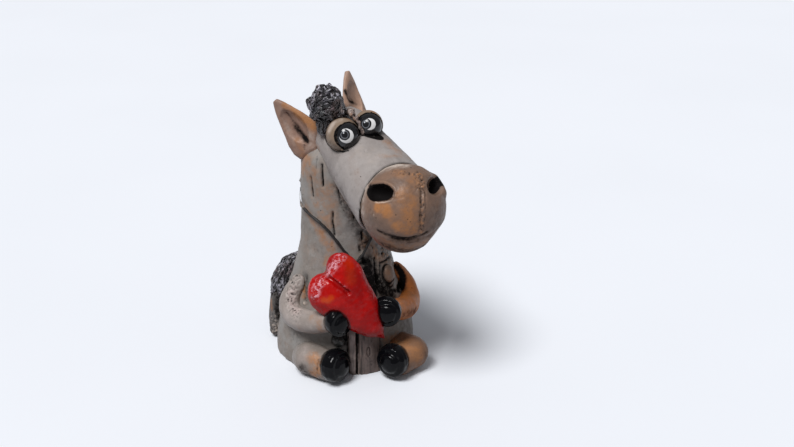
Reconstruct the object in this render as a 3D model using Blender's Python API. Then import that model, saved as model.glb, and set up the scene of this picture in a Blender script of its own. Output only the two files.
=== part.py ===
"""Seated donkey figurine of fired clay, about 10 cm high, holding a red heart.

The figure is hand-built: every lump, roll and strand of clay was made by itself and
stuck to its neighbour with slip before the firing, so each is one solid here. Right
and left are the donkey's own. It faces -Y, its left side is +X, and the origin is the
middle of its base on the table. All sizes are in metres.
"""
import math

import bmesh
import bpy
from mathutils import Euler, Matrix, Vector

# Joint line that the slip leaves between two lumps
SLIP_GAP = 0.0003
DUST = 0.000003
SHARP_ANGLE = math.radians(50.0)

# The two sides of the animal; values kept by side use the same -1 and 1
SIDES = ((-1, "right"), (1, "left"))

# Body: a hollow cone that runs up into the neck
BASE_HALF_WIDTH = 0.0250
HIP_HEIGHT = 0.0090
HIP_HALF_WIDTH = 0.0243
RIB_HEIGHT = 0.0200
RIB_HALF_WIDTH = 0.0216
CHEST_HEIGHT = 0.0320
CHEST_HALF_WIDTH = 0.0176
THROAT_HEIGHT = 0.0440
THROAT_HALF_WIDTH = 0.0150
NECK_HEIGHT = 0.0580
NECK_HALF_WIDTH = 0.0146
NAPE_HEIGHT = 0.0725
NAPE_HALF_WIDTH = 0.0140
NECK_CROWN = 0.0080
NECK_TOP = NAPE_HEIGHT + NECK_CROWN
BODY_DEPTH_RATIO = 0.93
BODY_SET_BACK = 0.0030
BODY_WALL = 0.0040
BODY_SIDES = 30
BODY_RINGS = 12
INNER_RINGS = 6

# Base plate that closes the cone, with the vent that firing needs
PLATE_THICKNESS = 0.0030
VENT_DIAMETER = 0.0060
VENT_OFFSET = (0.0080, 0.0070)

# Grained strip down the belly
STRIP_WIDTH = 0.0116
STRIP_THICKNESS = 0.0017
STRIP_OFFSET = 0.0010
STRIP_GROOVE_WIDTH = 0.0007
STRIP_GROOVE_DEPTH = 0.0008
STRIP_GROOVE_OFFSET = -0.0025

# Rolled cord round the neck that the heart hangs from
CORD_DIAMETER = 0.0011
CORD_BACK_DROP = 0.0135
CORD_BACK_HEIGHT = NAPE_HEIGHT - CORD_BACK_DROP
CORD_FRONT_HEIGHT = 0.0385
CORD_LOW_POINT = math.radians(1.0)
CORD_RISE = ((0.0, 0.0), (0.07, 0.17), (0.14, 0.42), (0.25, 0.68), (0.55, 0.93), (1.0, 1.0))
CORD_STEPS = 40
STRIP_TOP = CORD_FRONT_HEIGHT - CORD_DIAMETER / 2 - SLIP_GAP * 1.5

# Head: its own frame sits between the eyes, turned, bowed and tipped on the neck
HEAD_LIFT = 0.0041
HEAD_CENTRE = (0.0020, -0.0060, NAPE_HEIGHT + HEAD_LIFT)
HEAD_TURN = math.radians(16.5)
HEAD_BOW = math.radians(23.0)
HEAD_TIP = math.radians(10.0)
SKULL_BACK = 0.0165
SKULL_HALF_WIDTH = 0.0106
BROW_HALF_WIDTH = 0.0112
BROW_HALF_HEIGHT = 0.0108
SNOUT_LENGTH = 0.0270
SNOUT_HALF_WIDTH = 0.0138
SNOUT_HALF_HEIGHT = 0.0122
HEAD_SIDES = 24
HEAD_STEPS = 12

# Muzzle: a big drooping ball over the end of the snout
MUZZLE_REACH = 0.0312
MUZZLE_SIDE = 0.0001
MUZZLE_LIFT = 0.0008
MUZZLE_HALF_WIDTH = 0.0139
MUZZLE_HALF_DEPTH = 0.0133
MUZZLE_HALF_HEIGHT = 0.0148
MUZZLE_CHIN_TAPER = 0.16
MUZZLE_TURN = math.radians(-11.5)
MUZZLE_TIP = math.radians(-7.0)
NOSTRIL_SPREAD = {-1: math.radians(77.0), 1: math.radians(68.0)}
NOSTRIL_LIFT = {-1: math.radians(41.0), 1: math.radians(49.0)}
NOSTRIL_HALF_WIDTH = 0.0055
NOSTRIL_HALF_HEIGHT = 0.0030
NOSTRIL_DEPTH = 0.0050
MOUTH_LIFT = math.radians(-6.5)
MOUTH_TURN = math.radians(-9.0)
MOUTH_SPREAD = math.radians(38.0)
MOUTH_CURL = math.radians(4.0)
MOUTH_GROOVE = 0.0006

# Eyes: a ball of pale clay as the lid, with the dark eyeball let into it
EYE_OFFSET = {-1: -0.0056, 1: 0.0037}
EYE_FORWARD = 0.0017
EYE_LIFT = {-1: 0.0102, 1: 0.0108}
LID_RADIUS = {-1: 0.0056, 1: 0.0049}
EYEBALL_RADIUS = {-1: 0.0043, 1: 0.0041}
EYEBALL_PROUD = 0.0006
GAZE_LIFT = math.radians(34.0)
GAZE_TURN = math.radians(-7.0)
GAZE_CROSS = math.radians(13.0)

# Ears: broad leaves with a hollow, one held lower than the other
EAR_LENGTH = {-1: 0.0212, 1: 0.0196}
EAR_HALF_WIDTH = 0.0078
EAR_HALF_THICKNESS = 0.0015
EAR_TIP_RADIUS = 0.0019
EAR_HOLLOW_DEPTH = 0.0014
EAR_HOLLOW_MIDDLE = 0.38
EAR_HOLLOW_REACH = 0.32
EAR_ROOT = 0.0030

# Pressed strands of clay: forelock, mane, brow and tail tuft
STRAND_DIAMETER = 0.0015
CORE_SHARE = 0.86
FORELOCK_CENTRE = (-0.0057, 0.0090, 0.0142)
FORELOCK_HALF_WIDTH = 0.0056
FORELOCK_HALF_HEIGHT = 0.0068
FORELOCK_STRANDS = 18
FORELOCK_LOCKS = (((-0.0085, 0.0058, 0.0092), 0.0026), ((-0.0014, 0.0052, 0.0124), 0.0026))
MANE_HALF_WIDTH = 0.0026
MANE_DROP = 0.0255
MANE_BOTTOM = NAPE_HEIGHT - MANE_DROP
MANE_TOP = ((0.0, 0.0175, -0.0010), (0.0, 0.0168, 0.0045), (-0.0004, 0.0155, 0.0080))
MANE_STRANDS = 6
BROW_BEADS = 8
BROW_BEAD_RADIUS = 0.0012
BROW_BACK = math.radians(-82.0)
BROW_FRONT = math.radians(80.0)
BROW_STRETCH = 1.7
BROW_RISE = 0.0030
BROW_PROUD = 0.6
BROW_SWING = 0.0003

# Tail: a roll up the back of the right haunch that ends in a tuft
TAIL_DIAMETER = 0.0056
TUFT_HALF_WIDTH = 0.0036
TUFT_TOP = 0.0330
TUFT_BOTTOM = 0.0150
TUFT_STRANDS = 7
TAIL_SWING = ((0.0, -118.0), (0.36, -122.0), (0.67, -130.0), (1.0, -146.0))
TAIL_PROUD = ((0.0, 0.0012), (0.30, 0.0026), (0.67, 0.0042), (1.0, 0.0026))

# Forelegs: bent rolls that bring both hooves to the heart
FORELEG_SHOULDER_RADIUS = 0.0036
FORELEG_ELBOW_RADIUS = 0.0041
FORELEG_WRIST_RADIUS = 0.0037
SHOULDER_HEIGHT = 0.0285
ELBOW_HEIGHT = 0.0178
WRIST_HEIGHT = {-1: 0.0205, 1: 0.0216}
WRIST_ANGLE = {-1: math.radians(24.0), 1: math.radians(20.5)}
FORE_HOOF_HALF_WIDTH = 0.0052
FORE_HOOF_LENGTH = 0.0060
FORE_HOOF_REACH = 1.0

# Hind legs: short stout rolls on the ground, hooves turned in; -1 is right, 1 is left
HIP_RADIUS = 0.0048
KNEE_RADIUS = 0.0056
ANKLE_RADIUS = 0.0050
HIP_ANGLE = {-1: math.radians(47.0), 1: math.radians(40.0)}
HIP_PROUD = {-1: 0.0005, 1: -0.0005}
KNEE_ANGLE = {-1: math.radians(41.5), 1: math.radians(33.0)}
KNEE_PROUD = {-1: 0.0018, 1: 0.0074}
HOOF_ANGLE = {-1: math.radians(20.5), 1: math.radians(16.0)}
HOOF_PROUD = {-1: 0.0060, 1: 0.0079}
HIND_HOOF_HALF_WIDTH = 0.0059
HIND_HOOF_LENGTH = 0.0104
FOOT_LIFT = 0.0002

# Heart: puffed, on its side across the chest, its tip down to the donkey's left
HEART_LENGTH = 0.0335
HEART_WIDTH = 0.0208
HEART_TAPER = ((0.0, 0.62), (0.12, 0.80), (0.30, 0.77), (0.55, 0.78), (0.78, 0.93), (1.0, 1.0))
HEART_THICKNESS = 0.0105
HEART_DROOP = 0.28
HEART_HEIGHT = 0.0280
HEART_SIDE = -0.0036
HEART_ROLL = math.radians(38.5)
HEART_LEAN = math.radians(15.0)
HEART_TURN = math.radians(-7.0)

# Small pressed ball between the right hooves
KNOB_RADIUS = 0.0022
KNOB_ANGLE = math.radians(-19.0)
KNOB_HEIGHT = 0.0125

# Oval lump on the chest, in the bend of the left foreleg
LUMP_HALF_WIDTH = 0.0028
LUMP_HALF_HEIGHT = 0.0044
LUMP_ANGLE = math.radians(43.0)
LUMP_HEIGHT = 0.0300

CLAY_GREY = (0.30, 0.27, 0.24)
CLAY_BROWN = (0.42, 0.25, 0.15)
CLAY_TAN = (0.48, 0.34, 0.20)
OXIDE_BLACK = (0.035, 0.030, 0.035)
GLAZE_BLACK = (0.010, 0.010, 0.012)
GLAZE_RED = (0.60, 0.015, 0.020)


def clear_scene():
    """Take away whatever the file opened with."""
    for obj in list(bpy.data.objects):
        bpy.data.objects.remove(obj, do_unlink=True)


def clay(name, colour, roughness, metallic=0.0):
    """A plain fired-clay or glaze material."""
    material = bpy.data.materials.new(name)
    material.use_nodes = True
    shader = material.node_tree.nodes["Principled BSDF"]
    shader.inputs["Base Color"].default_value = (*colour, 1.0)
    shader.inputs["Roughness"].default_value = roughness
    shader.inputs["Metallic"].default_value = metallic
    return material


def smooth_between(rows, position):
    """Read rows of (position, value) on one smooth curve."""
    rows = sorted(rows)
    position = min(max(position, rows[0][0]), rows[-1][0])
    last = len(rows) - 1
    spot = max(i for i in range(last) if rows[i][0] <= position)

    def slope(i):
        low, high = max(i - 1, 0), min(i + 1, last)
        return (rows[high][1] - rows[low][1]) / (rows[high][0] - rows[low][0])

    span = rows[spot + 1][0] - rows[spot][0]
    t = (position - rows[spot][0]) / span
    start, end = rows[spot][1], rows[spot + 1][1]
    return ((2 * t**3 - 3 * t**2 + 1) * start + (t**3 - 2 * t**2 + t) * span * slope(spot)
            + (3 * t**2 - 2 * t**3) * end + (t**3 - t**2) * span * slope(spot + 1))


def path_near(points, steps):
    """A soft path that starts and ends on its points and rounds the corners between them."""
    points = [Vector(p) for p in points]
    points = [points[0] * 2 - points[1]] + points + [points[-1] * 2 - points[-2]]
    path = []
    for i in range(len(points) - 3):
        a, b, c, d = points[i:i + 4]
        for step in range(steps):
            t = step / steps
            path.append((a * (1 - t)**3 + b * (3 * t**3 - 6 * t**2 + 4)
                         + c * (3 * t**2 + 3 * t + 1 - 3 * t**3) + d * t**3) / 6)
    return path + [points[-2].copy()]


def aimed(origin, along, across):
    """A frame at origin whose Z runs along one direction and whose X leans to another."""
    z = Vector(along).normalized()
    x = Vector(across)
    x = (x - z * x.dot(z)).normalized()
    y = z.cross(x)
    frame = Matrix((x, y, z)).transposed().to_4x4()
    frame.translation = Vector(origin)
    return frame


def sized(x, y, z=1.0):
    """A scaling frame."""
    return Matrix.Diagonal((x, y, z, 1.0))


def loft(mesh, rings, sides):
    """Carry a unit circle through a row of frames and close both ends."""
    edges = bmesh.ops.create_circle(mesh, segments=sides, radius=1.0, matrix=rings[0])["verts"]
    loop = list({edge for vert in edges for edge in vert.link_edges})
    bmesh.ops.edgeloop_fill(mesh, edges=loop)
    for before, after in zip(rings, rings[1:]):
        grown = bmesh.ops.extrude_edge_only(mesh, edges=loop)["geom"]
        verts = [g for g in grown if isinstance(g, bmesh.types.BMVert)]
        loop = [g for g in grown if isinstance(g, bmesh.types.BMEdge)]
        loop = [e for e in loop if all(v in set(verts) for v in e.verts)]
        bmesh.ops.transform(mesh, matrix=after @ before.inverted(), verts=verts)
    bmesh.ops.edgeloop_fill(mesh, edges=loop)


def roll_rings(points, radii, across, end_rings=3):
    """Frames for a roll of clay with round ends; radii are read along the path."""
    last = len(points) - 1
    rings = []
    for i, point in enumerate(points):
        along = points[min(i + 1, last)] - points[max(i - 1, 0)]
        frame = aimed(point, along, across)
        across = frame.col[0].to_3d()
        radius = smooth_between(radii, i / last)
        rings.append((frame, radius))
    turned = []
    for side, (frame, radius) in ((-1, rings[0]), (1, rings[-1])):
        cap = []
        for step in range(end_rings, 0, -1):
            angle = math.radians(78.0) * step / end_rings
            shift = Matrix.Translation((0, 0, side * radius * math.sin(angle)))
            cap.append(frame @ shift @ sized(radius * math.cos(angle), radius * math.cos(angle)))
        turned.append(cap)
    body = [frame @ sized(radius, radius) for frame, radius in rings]
    return turned[0] + body + turned[1][::-1]


def ball(mesh, radii, sides, rows, frame=None):
    """An ellipsoid with its poles on Z."""
    frame = frame or Matrix.Identity(4)
    place = frame @ Matrix.Diagonal((*radii, 1.0))
    bmesh.ops.create_uvsphere(mesh, u_segments=sides, v_segments=rows, radius=1.0, matrix=place)


def finish_mesh(name, mesh):
    """Turn a bmesh into mesh data with its faces outwards and its round faces smooth."""
    bmesh.ops.recalc_face_normals(mesh, faces=mesh.faces[:])
    data = bpy.data.meshes.new(name)
    mesh.to_mesh(data)
    mesh.free()
    data.shade_smooth()
    data.set_sharp_from_angle(angle=SHARP_ANGLE)
    return data


def add_object(name, mesh, material=None, parent=None, frame=None):
    """Put a bmesh in the scene as one object, placed under its parent."""
    obj = bpy.data.objects.new(name, finish_mesh(name, mesh))
    bpy.context.collection.objects.link(obj)
    if parent:
        obj.parent = parent
    if frame:
        obj.matrix_local = frame
    if material:
        obj.data.materials.append(material)
    return obj


def as_cutter(obj):
    """Keep an object as a guide that isn't part of the figure."""
    obj.hide_render = True
    obj.display_type = "WIRE"
    return obj


def grown_copy(obj, gap=SLIP_GAP):
    """The same form, larger by the slip gap all round, to cut its neighbours with."""
    bpy.context.view_layer.update()
    mesh = bmesh.new()
    mesh.from_mesh(obj.data)
    mesh.normal_update()
    shifts = [(vert, vert.normal * gap * vert.calc_shell_factor()) for vert in mesh.verts]
    for vert, shift in shifts:
        vert.co += shift
    copy = add_object("seat_of_" + obj.name, mesh, parent=obj.parent, frame=obj.matrix_local.copy())
    return as_cutter(copy)


def boolean(obj, other, operation, use_self=False):
    """Add one live Boolean to an object."""
    modifier = obj.modifiers.new(operation.lower(), "BOOLEAN")
    modifier.operation = operation
    modifier.solver = "EXACT"
    modifier.use_self = use_self
    modifier.object = other


def settle(obj):
    """Apply an object's modifiers, clear the slivers of its cuts and keep its largest lump."""
    bpy.context.view_layer.update()
    graph = bpy.context.evaluated_depsgraph_get()
    mesh = bmesh.new()
    mesh.from_mesh(bpy.data.meshes.new_from_object(obj.evaluated_get(graph)))
    obj.modifiers.clear()
    bmesh.ops.remove_doubles(mesh, verts=mesh.verts[:], dist=DUST)
    bmesh.ops.dissolve_degenerate(mesh, dist=DUST, edges=mesh.edges[:])
    spare = [vert for vert in mesh.verts if len(vert.link_edges) == 2]
    bmesh.ops.dissolve_verts(mesh, verts=spare)
    lumps = []
    unseen = set(mesh.faces)
    while unseen:
        front = [unseen.pop()]
        lump = set(front)
        while front:
            face = front.pop()
            near = {f for edge in face.edges for f in edge.link_faces} & unseen
            unseen -= near
            lump |= near
            front.extend(near)
        lumps.append(lump)
    largest = max(lumps, key=lambda lump: sum(face.calc_area() for face in lump))
    crumbs = [face for lump in lumps if lump is not largest for face in lump]
    if crumbs:
        bmesh.ops.delete(mesh, geom=crumbs, context="FACES")
    mesh.to_mesh(obj.data)
    mesh.free()
    obj.data.shade_smooth()
    obj.data.set_sharp_from_angle(angle=SHARP_ANGLE)
    return obj


def seat(obj, *carriers):
    """Cut an object clear of every neighbour that it is stuck to."""
    for carrier in carriers:
        boolean(obj, carrier, "DIFFERENCE", use_self=True)
        settle(obj)
    return obj


BODY_STATIONS = (
    (0.0, BASE_HALF_WIDTH),
    (HIP_HEIGHT, HIP_HALF_WIDTH),
    (RIB_HEIGHT, RIB_HALF_WIDTH),
    (CHEST_HEIGHT, CHEST_HALF_WIDTH),
    (THROAT_HEIGHT, THROAT_HALF_WIDTH),
    (NECK_HEIGHT, NECK_HALF_WIDTH),
    (NAPE_HEIGHT, NAPE_HALF_WIDTH),
)


def body_ring(height, inset=0.0):
    """The body's level outline at a height, as a frame for a unit circle."""
    half_width = smooth_between(BODY_STATIONS, height) - inset
    middle = Matrix.Translation((0.0, BODY_SET_BACK, height))
    return middle @ sized(half_width, half_width - (1 - BODY_DEPTH_RATIO) * (half_width + inset))


def body_point(angle, height, proud=0.0):
    """A point on the body; the angle runs from the front to the donkey's left."""
    def point(a, h):
        return body_ring(h) @ Vector((math.sin(a), -math.cos(a), 0.0))

    step = 0.0005
    here = point(angle, height)
    round_body = point(angle + 0.01, height) - here
    up_body = point(angle, height + step) - point(angle, height - step if height > step else height)
    return here + round_body.cross(up_body).normalized() * proud


def crown_rings(top, inset, steps=5):
    """Rings that round the neck off at its top, highest first."""
    start = NAPE_HEIGHT - inset
    rise = top - start
    edge = body_ring(start, inset)
    rings = []
    for step in range(steps, 0, -1):
        angle = math.radians(84.0) * step / steps
        lift = rise * math.sin(angle)
        shrink = math.cos(angle)
        shift = Matrix.Translation((0.0, 0.0, lift))
        rings.append(shift @ edge @ sized(shrink, shrink))
    return rings


def make_body(material):
    """The hollow cone, drawn from its crown down the outside and up the inside."""
    heights = [NAPE_HEIGHT * step / BODY_RINGS for step in range(BODY_RINGS, -1, -1)]
    inner_top = NAPE_HEIGHT - BODY_WALL
    inner_heights = [inner_top * step / INNER_RINGS for step in range(INNER_RINGS + 1)]
    rings = crown_rings(NECK_TOP, 0.0)
    rings += [body_ring(height) for height in heights]
    rings += [body_ring(height, BODY_WALL) for height in inner_heights]
    rings += crown_rings(NECK_TOP - BODY_WALL, BODY_WALL, 3)[::-1]
    mesh = bmesh.new()
    loft(mesh, rings, BODY_SIDES)
    body = add_object("body_shell", mesh, material)
    outer = bmesh.new()
    loft(outer, crown_rings(NECK_TOP, 0.0) + [body_ring(height) for height in heights], BODY_SIDES)
    form = as_cutter(add_object("body_form", outer))
    return body, grown_copy(form)


def make_base_plate(material):
    """The disc inside the cone's rim, with its vent off the middle."""
    inset = BODY_WALL + SLIP_GAP * 1.05
    mesh = bmesh.new()
    loft(mesh, [body_ring(0.0, inset), body_ring(PLATE_THICKNESS, inset)], BODY_SIDES)
    plate = add_object("base_plate", mesh, material)
    drill = bmesh.new()
    bmesh.ops.create_cone(drill, cap_ends=True, segments=20, radius1=VENT_DIAMETER / 2,
                          radius2=VENT_DIAMETER / 2, depth=PLATE_THICKNESS * 4)
    spot = Matrix.Translation((*VENT_OFFSET, 0.0))
    return seat(plate, as_cutter(add_object("vent_drill", drill, frame=spot)))


def make_belly_strip(material, body_seat):
    """A flat strip pressed on down the front, with the groove beside its edge."""
    steps = 12
    rings = []
    for step in range(steps + 1):
        height = STRIP_TOP * step / steps
        angle = math.asin(STRIP_OFFSET / BASE_HALF_WIDTH)
        middle = body_point(angle, height)
        frame = Matrix.Translation(middle)
        rings.append(frame @ sized(STRIP_WIDTH / 2, STRIP_THICKNESS + SLIP_GAP))
    mesh = bmesh.new()
    loft(mesh, rings, 16)
    strip = add_object("belly_strip", mesh, material)
    strip_seat = grown_copy(strip)
    line = [body_point(0.0, STRIP_TOP * 1.1 * step / steps - 0.001, STRIP_THICKNESS + SLIP_GAP)
            for step in range(steps + 1)]
    line = [point + Vector((STRIP_OFFSET + STRIP_GROOVE_OFFSET, 0.0, 0.0)) for point in line]
    line[0].z = -0.002
    groove = bmesh.new()
    frames = [Matrix.Translation(p) @ sized(STRIP_GROOVE_WIDTH / 2, STRIP_GROOVE_DEPTH)
              for p in line]
    loft(groove, frames, 6)
    cutter = as_cutter(add_object("strip_groove", groove))
    return seat(strip, body_seat, cutter), strip_seat


def cord_curve(name, radius):
    """A closed roll round the neck, high at the nape and low on the chest."""
    curve = bpy.data.curves.new(name, "CURVE")
    curve.dimensions = "3D"
    curve.bevel_depth = radius
    curve.bevel_resolution = 1
    curve.render_resolution_u = 0
    spline = curve.splines.new("POLY")
    spline.points.add(CORD_STEPS - 1)
    spline.use_cyclic_u = True
    stand_off = CORD_DIAMETER / 2 + SLIP_GAP * 1.4
    for step, spot in enumerate(spline.points):
        angle = 2 * math.pi * step / CORD_STEPS
        rise = smooth_between(CORD_RISE, 1 - abs(1 - angle / math.pi))
        height = CORD_FRONT_HEIGHT + (CORD_BACK_HEIGHT - CORD_FRONT_HEIGHT) * rise
        spot.co = (*body_point(angle + CORD_LOW_POINT, height, stand_off), 1.0)
    cord = bpy.data.objects.new(name, curve)
    bpy.context.collection.objects.link(cord)
    return cord


def make_neck_cord(material):
    """The rolled cord, and its space as a mesh to cut what lies over it."""
    cord = cord_curve("neck_cord", CORD_DIAMETER / 2)
    cord.data.materials.append(material)
    thick = cord_curve("cord_guide", CORD_DIAMETER / 2 + SLIP_GAP * 1.15)
    bpy.context.view_layer.update()
    graph = bpy.context.evaluated_depsgraph_get()
    mesh = bmesh.new()
    mesh.from_mesh(bpy.data.meshes.new_from_object(thick.evaluated_get(graph)))
    bpy.data.objects.remove(thick, do_unlink=True)
    return cord, as_cutter(add_object("cord_seat", mesh))


def make_head_frame():
    """The empty that holds everything on the head."""
    frame = bpy.data.objects.new("head_frame", None)
    frame.location = HEAD_CENTRE
    frame.rotation_mode = "YXZ"
    frame.rotation_euler = Euler((HEAD_BOW, -HEAD_TIP, HEAD_TURN), "YXZ")
    bpy.context.collection.objects.link(frame)
    bpy.context.view_layer.update()
    return frame


def head_section(forward):
    """The head's half width, half height and droop at a distance before the eyes."""
    widths = ((-SKULL_BACK, SKULL_HALF_WIDTH * 0.25), (-SKULL_BACK * 0.85, SKULL_HALF_WIDTH * 0.72),
              (-SKULL_BACK * 0.5, SKULL_HALF_WIDTH), (0.0, BROW_HALF_WIDTH),
              (SNOUT_LENGTH, SNOUT_HALF_WIDTH))
    heights = ((-SKULL_BACK, SKULL_HALF_WIDTH * 0.25), (-SKULL_BACK * 0.85, SKULL_HALF_WIDTH * 0.72),
               (-SKULL_BACK * 0.5, SKULL_HALF_WIDTH), (0.0, BROW_HALF_HEIGHT),
               (SNOUT_LENGTH, SNOUT_HALF_HEIGHT))
    return smooth_between(widths, forward), smooth_between(heights, forward)


def head_rings():
    """Frames for the head, from the back of the skull to inside the muzzle."""
    span = SKULL_BACK + SNOUT_LENGTH
    rings = []
    for step in range(HEAD_STEPS + 1):
        share = step / HEAD_STEPS
        forward = span * (share ** 0.9) - SKULL_BACK
        width, height = head_section(forward)
        frame = aimed((0.0, -forward, 0.0), (0, -1, 0), (1, 0, 0))
        rings.append(frame @ sized(width, height))
    return rings


def make_head(material, head_frame, seats):
    """Skull and snout in one piece, widening to the muzzle."""
    mesh = bmesh.new()
    loft(mesh, head_rings(), HEAD_SIDES)
    head = add_object("head", mesh, material, head_frame)
    head_seat = grown_copy(head)
    seat(head, *seats)
    return head, head_seat


def muzzle_frame():
    """The muzzle's own frame in the head: it hangs a little turned."""
    turn = Euler((-HEAD_BOW * 0.25, -MUZZLE_TIP, MUZZLE_TURN), "YXZ").to_matrix().to_4x4()
    return Matrix.Translation((MUZZLE_SIDE, -MUZZLE_REACH, MUZZLE_LIFT)) @ turn


def muzzle_surface(side, lift):
    """A point of the muzzle, by its angle to the side and its angle up."""
    x = math.sin(side) * math.cos(lift)
    y = -math.cos(side) * math.cos(lift)
    z = math.sin(lift)
    narrow = 1 - MUZZLE_CHIN_TAPER * max(0.0, -z)
    return Vector((x * MUZZLE_HALF_WIDTH * narrow, y * MUZZLE_HALF_DEPTH, z * MUZZLE_HALF_HEIGHT))


def make_muzzle_form(head_frame):
    """The muzzle before its nostrils and mouth are cut."""
    mesh = bmesh.new()
    ball(mesh, (MUZZLE_HALF_WIDTH, MUZZLE_HALF_DEPTH, MUZZLE_HALF_HEIGHT), 28, 16)
    for vert in mesh.verts:
        low = max(0.0, -vert.co.z / MUZZLE_HALF_HEIGHT)
        vert.co.x *= 1 - MUZZLE_CHIN_TAPER * low
    return add_object("muzzle", mesh, None, head_frame, muzzle_frame())


def make_muzzle(material, muzzle):
    """Cut two deep nostrils and the line of the smile."""
    muzzle.data.materials.append(material)
    head_frame = muzzle.parent
    cutters = []
    for side in (-1, 1):
        spot = muzzle_surface(side * NOSTRIL_SPREAD[side], NOSTRIL_LIFT[side])
        mesh = bmesh.new()
        ball(mesh, (NOSTRIL_HALF_WIDTH, NOSTRIL_HALF_HEIGHT, NOSTRIL_DEPTH), 14, 8)
        frame = muzzle_frame() @ aimed(spot, spot, (-side * 0.51, -0.60, 0.31))
        cutters.append(as_cutter(add_object("nostril_cut", mesh, None, head_frame, frame)))
    steps = 10
    line = []
    for step in range(steps + 1):
        share = 2 * step / steps - 1
        line.append(muzzle_surface(MOUTH_TURN + MOUTH_SPREAD * share,
                                   MOUTH_LIFT + MOUTH_CURL * share * share))
    mesh = bmesh.new()
    loft(mesh, roll_rings(line, ((0, MOUTH_GROOVE), (1, MOUTH_GROOVE)), (0, 0, 1), 1), 6)
    cutters.append(as_cutter(add_object("mouth_cut", mesh, None, head_frame, muzzle_frame())))
    return seat(muzzle, *cutters)


def make_eyes(materials, head_frame, head_seat):
    """Each eye is a lid ball on the brow and an eyeball let into its front."""
    lid_material, ball_material = materials
    eye_seats = []
    for side, word in SIDES:
        turn = GAZE_TURN - side * GAZE_CROSS
        gaze = Euler((-GAZE_LIFT, 0.0, turn), "YXZ").to_matrix() @ Vector((0, -1, 0))
        spot = Vector((EYE_OFFSET[side], -EYE_FORWARD, EYE_LIFT[side]))
        lid_radius, ball_radius = LID_RADIUS[side], EYEBALL_RADIUS[side]
        facing = aimed(spot, gaze, (1, 0, 0))
        mesh = bmesh.new()
        ball(mesh, (lid_radius,) * 3, 18, 12)
        lid = add_object("eyelid_" + word, mesh, lid_material, head_frame, facing)
        lid_seat = grown_copy(lid)
        mesh = bmesh.new()
        out = lid_radius + EYEBALL_PROUD - ball_radius
        ball(mesh, (ball_radius,) * 3, 16, 10)
        middle = facing @ Matrix.Translation((0.0, 0.0, out))
        eyeball = add_object("eyeball_" + word, mesh, ball_material, head_frame, middle)
        ball_seat = grown_copy(eyeball)
        seat(lid, head_seat, *eye_seats, ball_seat)
        seat(eyeball, head_seat, *eye_seats)
        eye_seats += [lid_seat, ball_seat]
    return eye_seats


def ear_rings(length, steps=9):
    """Frames up one ear, broad low down and blunt at the tip."""
    widths = ((0.0, EAR_HALF_WIDTH * 0.86), (0.2, EAR_HALF_WIDTH), (0.5, EAR_HALF_WIDTH * 0.74),
              (0.8, EAR_HALF_WIDTH * 0.42), (0.93, EAR_TIP_RADIUS), (1.0, EAR_TIP_RADIUS * 0.4))
    rings = []
    for step in range(steps + 1):
        share = 1 - (1 - step / steps) ** 1.5
        width = smooth_between(widths, share)
        thickness = EAR_HALF_THICKNESS * (1.35 - 0.75 * share)
        lift = Matrix.Translation((0, 0, length * share - EAR_ROOT))
        rings.append(lift @ sized(width, max(thickness, 0.0006)))
    return rings


def make_ears(material, head_frame, seats):
    """Right ear out and back, left ear more upright; the hollows face out and forward."""
    places = (
        (SIDES[0], (-0.0113, 0.0098, -0.0004), (-0.0184, 0.0240, 0.0114), (-0.62, -0.74, 0.20)),
        (SIDES[1], (0.0056, 0.0095, 0.0032), (0.0086, 0.0222, 0.0156), (0.55, -0.68, 0.48)),
    )
    ear_seats = []
    for (side, word), root, tip, face in places:
        length = EAR_LENGTH[side]
        root, tip, face = Vector(root), Vector(tip), Vector(face)
        along = tip - root
        frame = aimed(root, along, along.cross(face))
        mesh = bmesh.new()
        loft(mesh, ear_rings(length), 14)
        ear = add_object("ear_" + word, mesh, material, head_frame, frame)
        ear_seats.append(grown_copy(ear))
        hollow = bmesh.new()
        ball(hollow, (EAR_HALF_WIDTH * 0.55, EAR_HOLLOW_DEPTH * 1.6, length * EAR_HOLLOW_REACH), 12, 8)
        facing = face - along.normalized() * face.dot(along.normalized())
        shift = facing.normalized() * EAR_HALF_THICKNESS * 1.25
        middle = root + along.normalized() * length * EAR_HOLLOW_MIDDLE
        spot = aimed(middle + shift, along, along.cross(face))
        cutter = as_cutter(add_object("ear_hollow_" + word, hollow, None, head_frame, spot))
        seat(ear, *seats, cutter)
    return ear_seats


def make_strand(mesh, points, radius, across=(0, 0, 1)):
    """One pressed strand of clay, four-sided with a blunt end."""
    loft(mesh, roll_rings(points, ((0, radius), (1, radius * 0.85)), across, 1), 4)


def fused_tuft(name, core, strands, material, parent, seats):
    """Fuse strands to their core and cut the tuft clear of what it sits on."""
    tuft = add_object(name, core, material, parent)
    bundle = as_cutter(add_object(name + "_strands", strands, None, parent))
    boolean(tuft, bundle, "UNION", use_self=True)
    settle(tuft)
    return seat(tuft, *seats)


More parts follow.
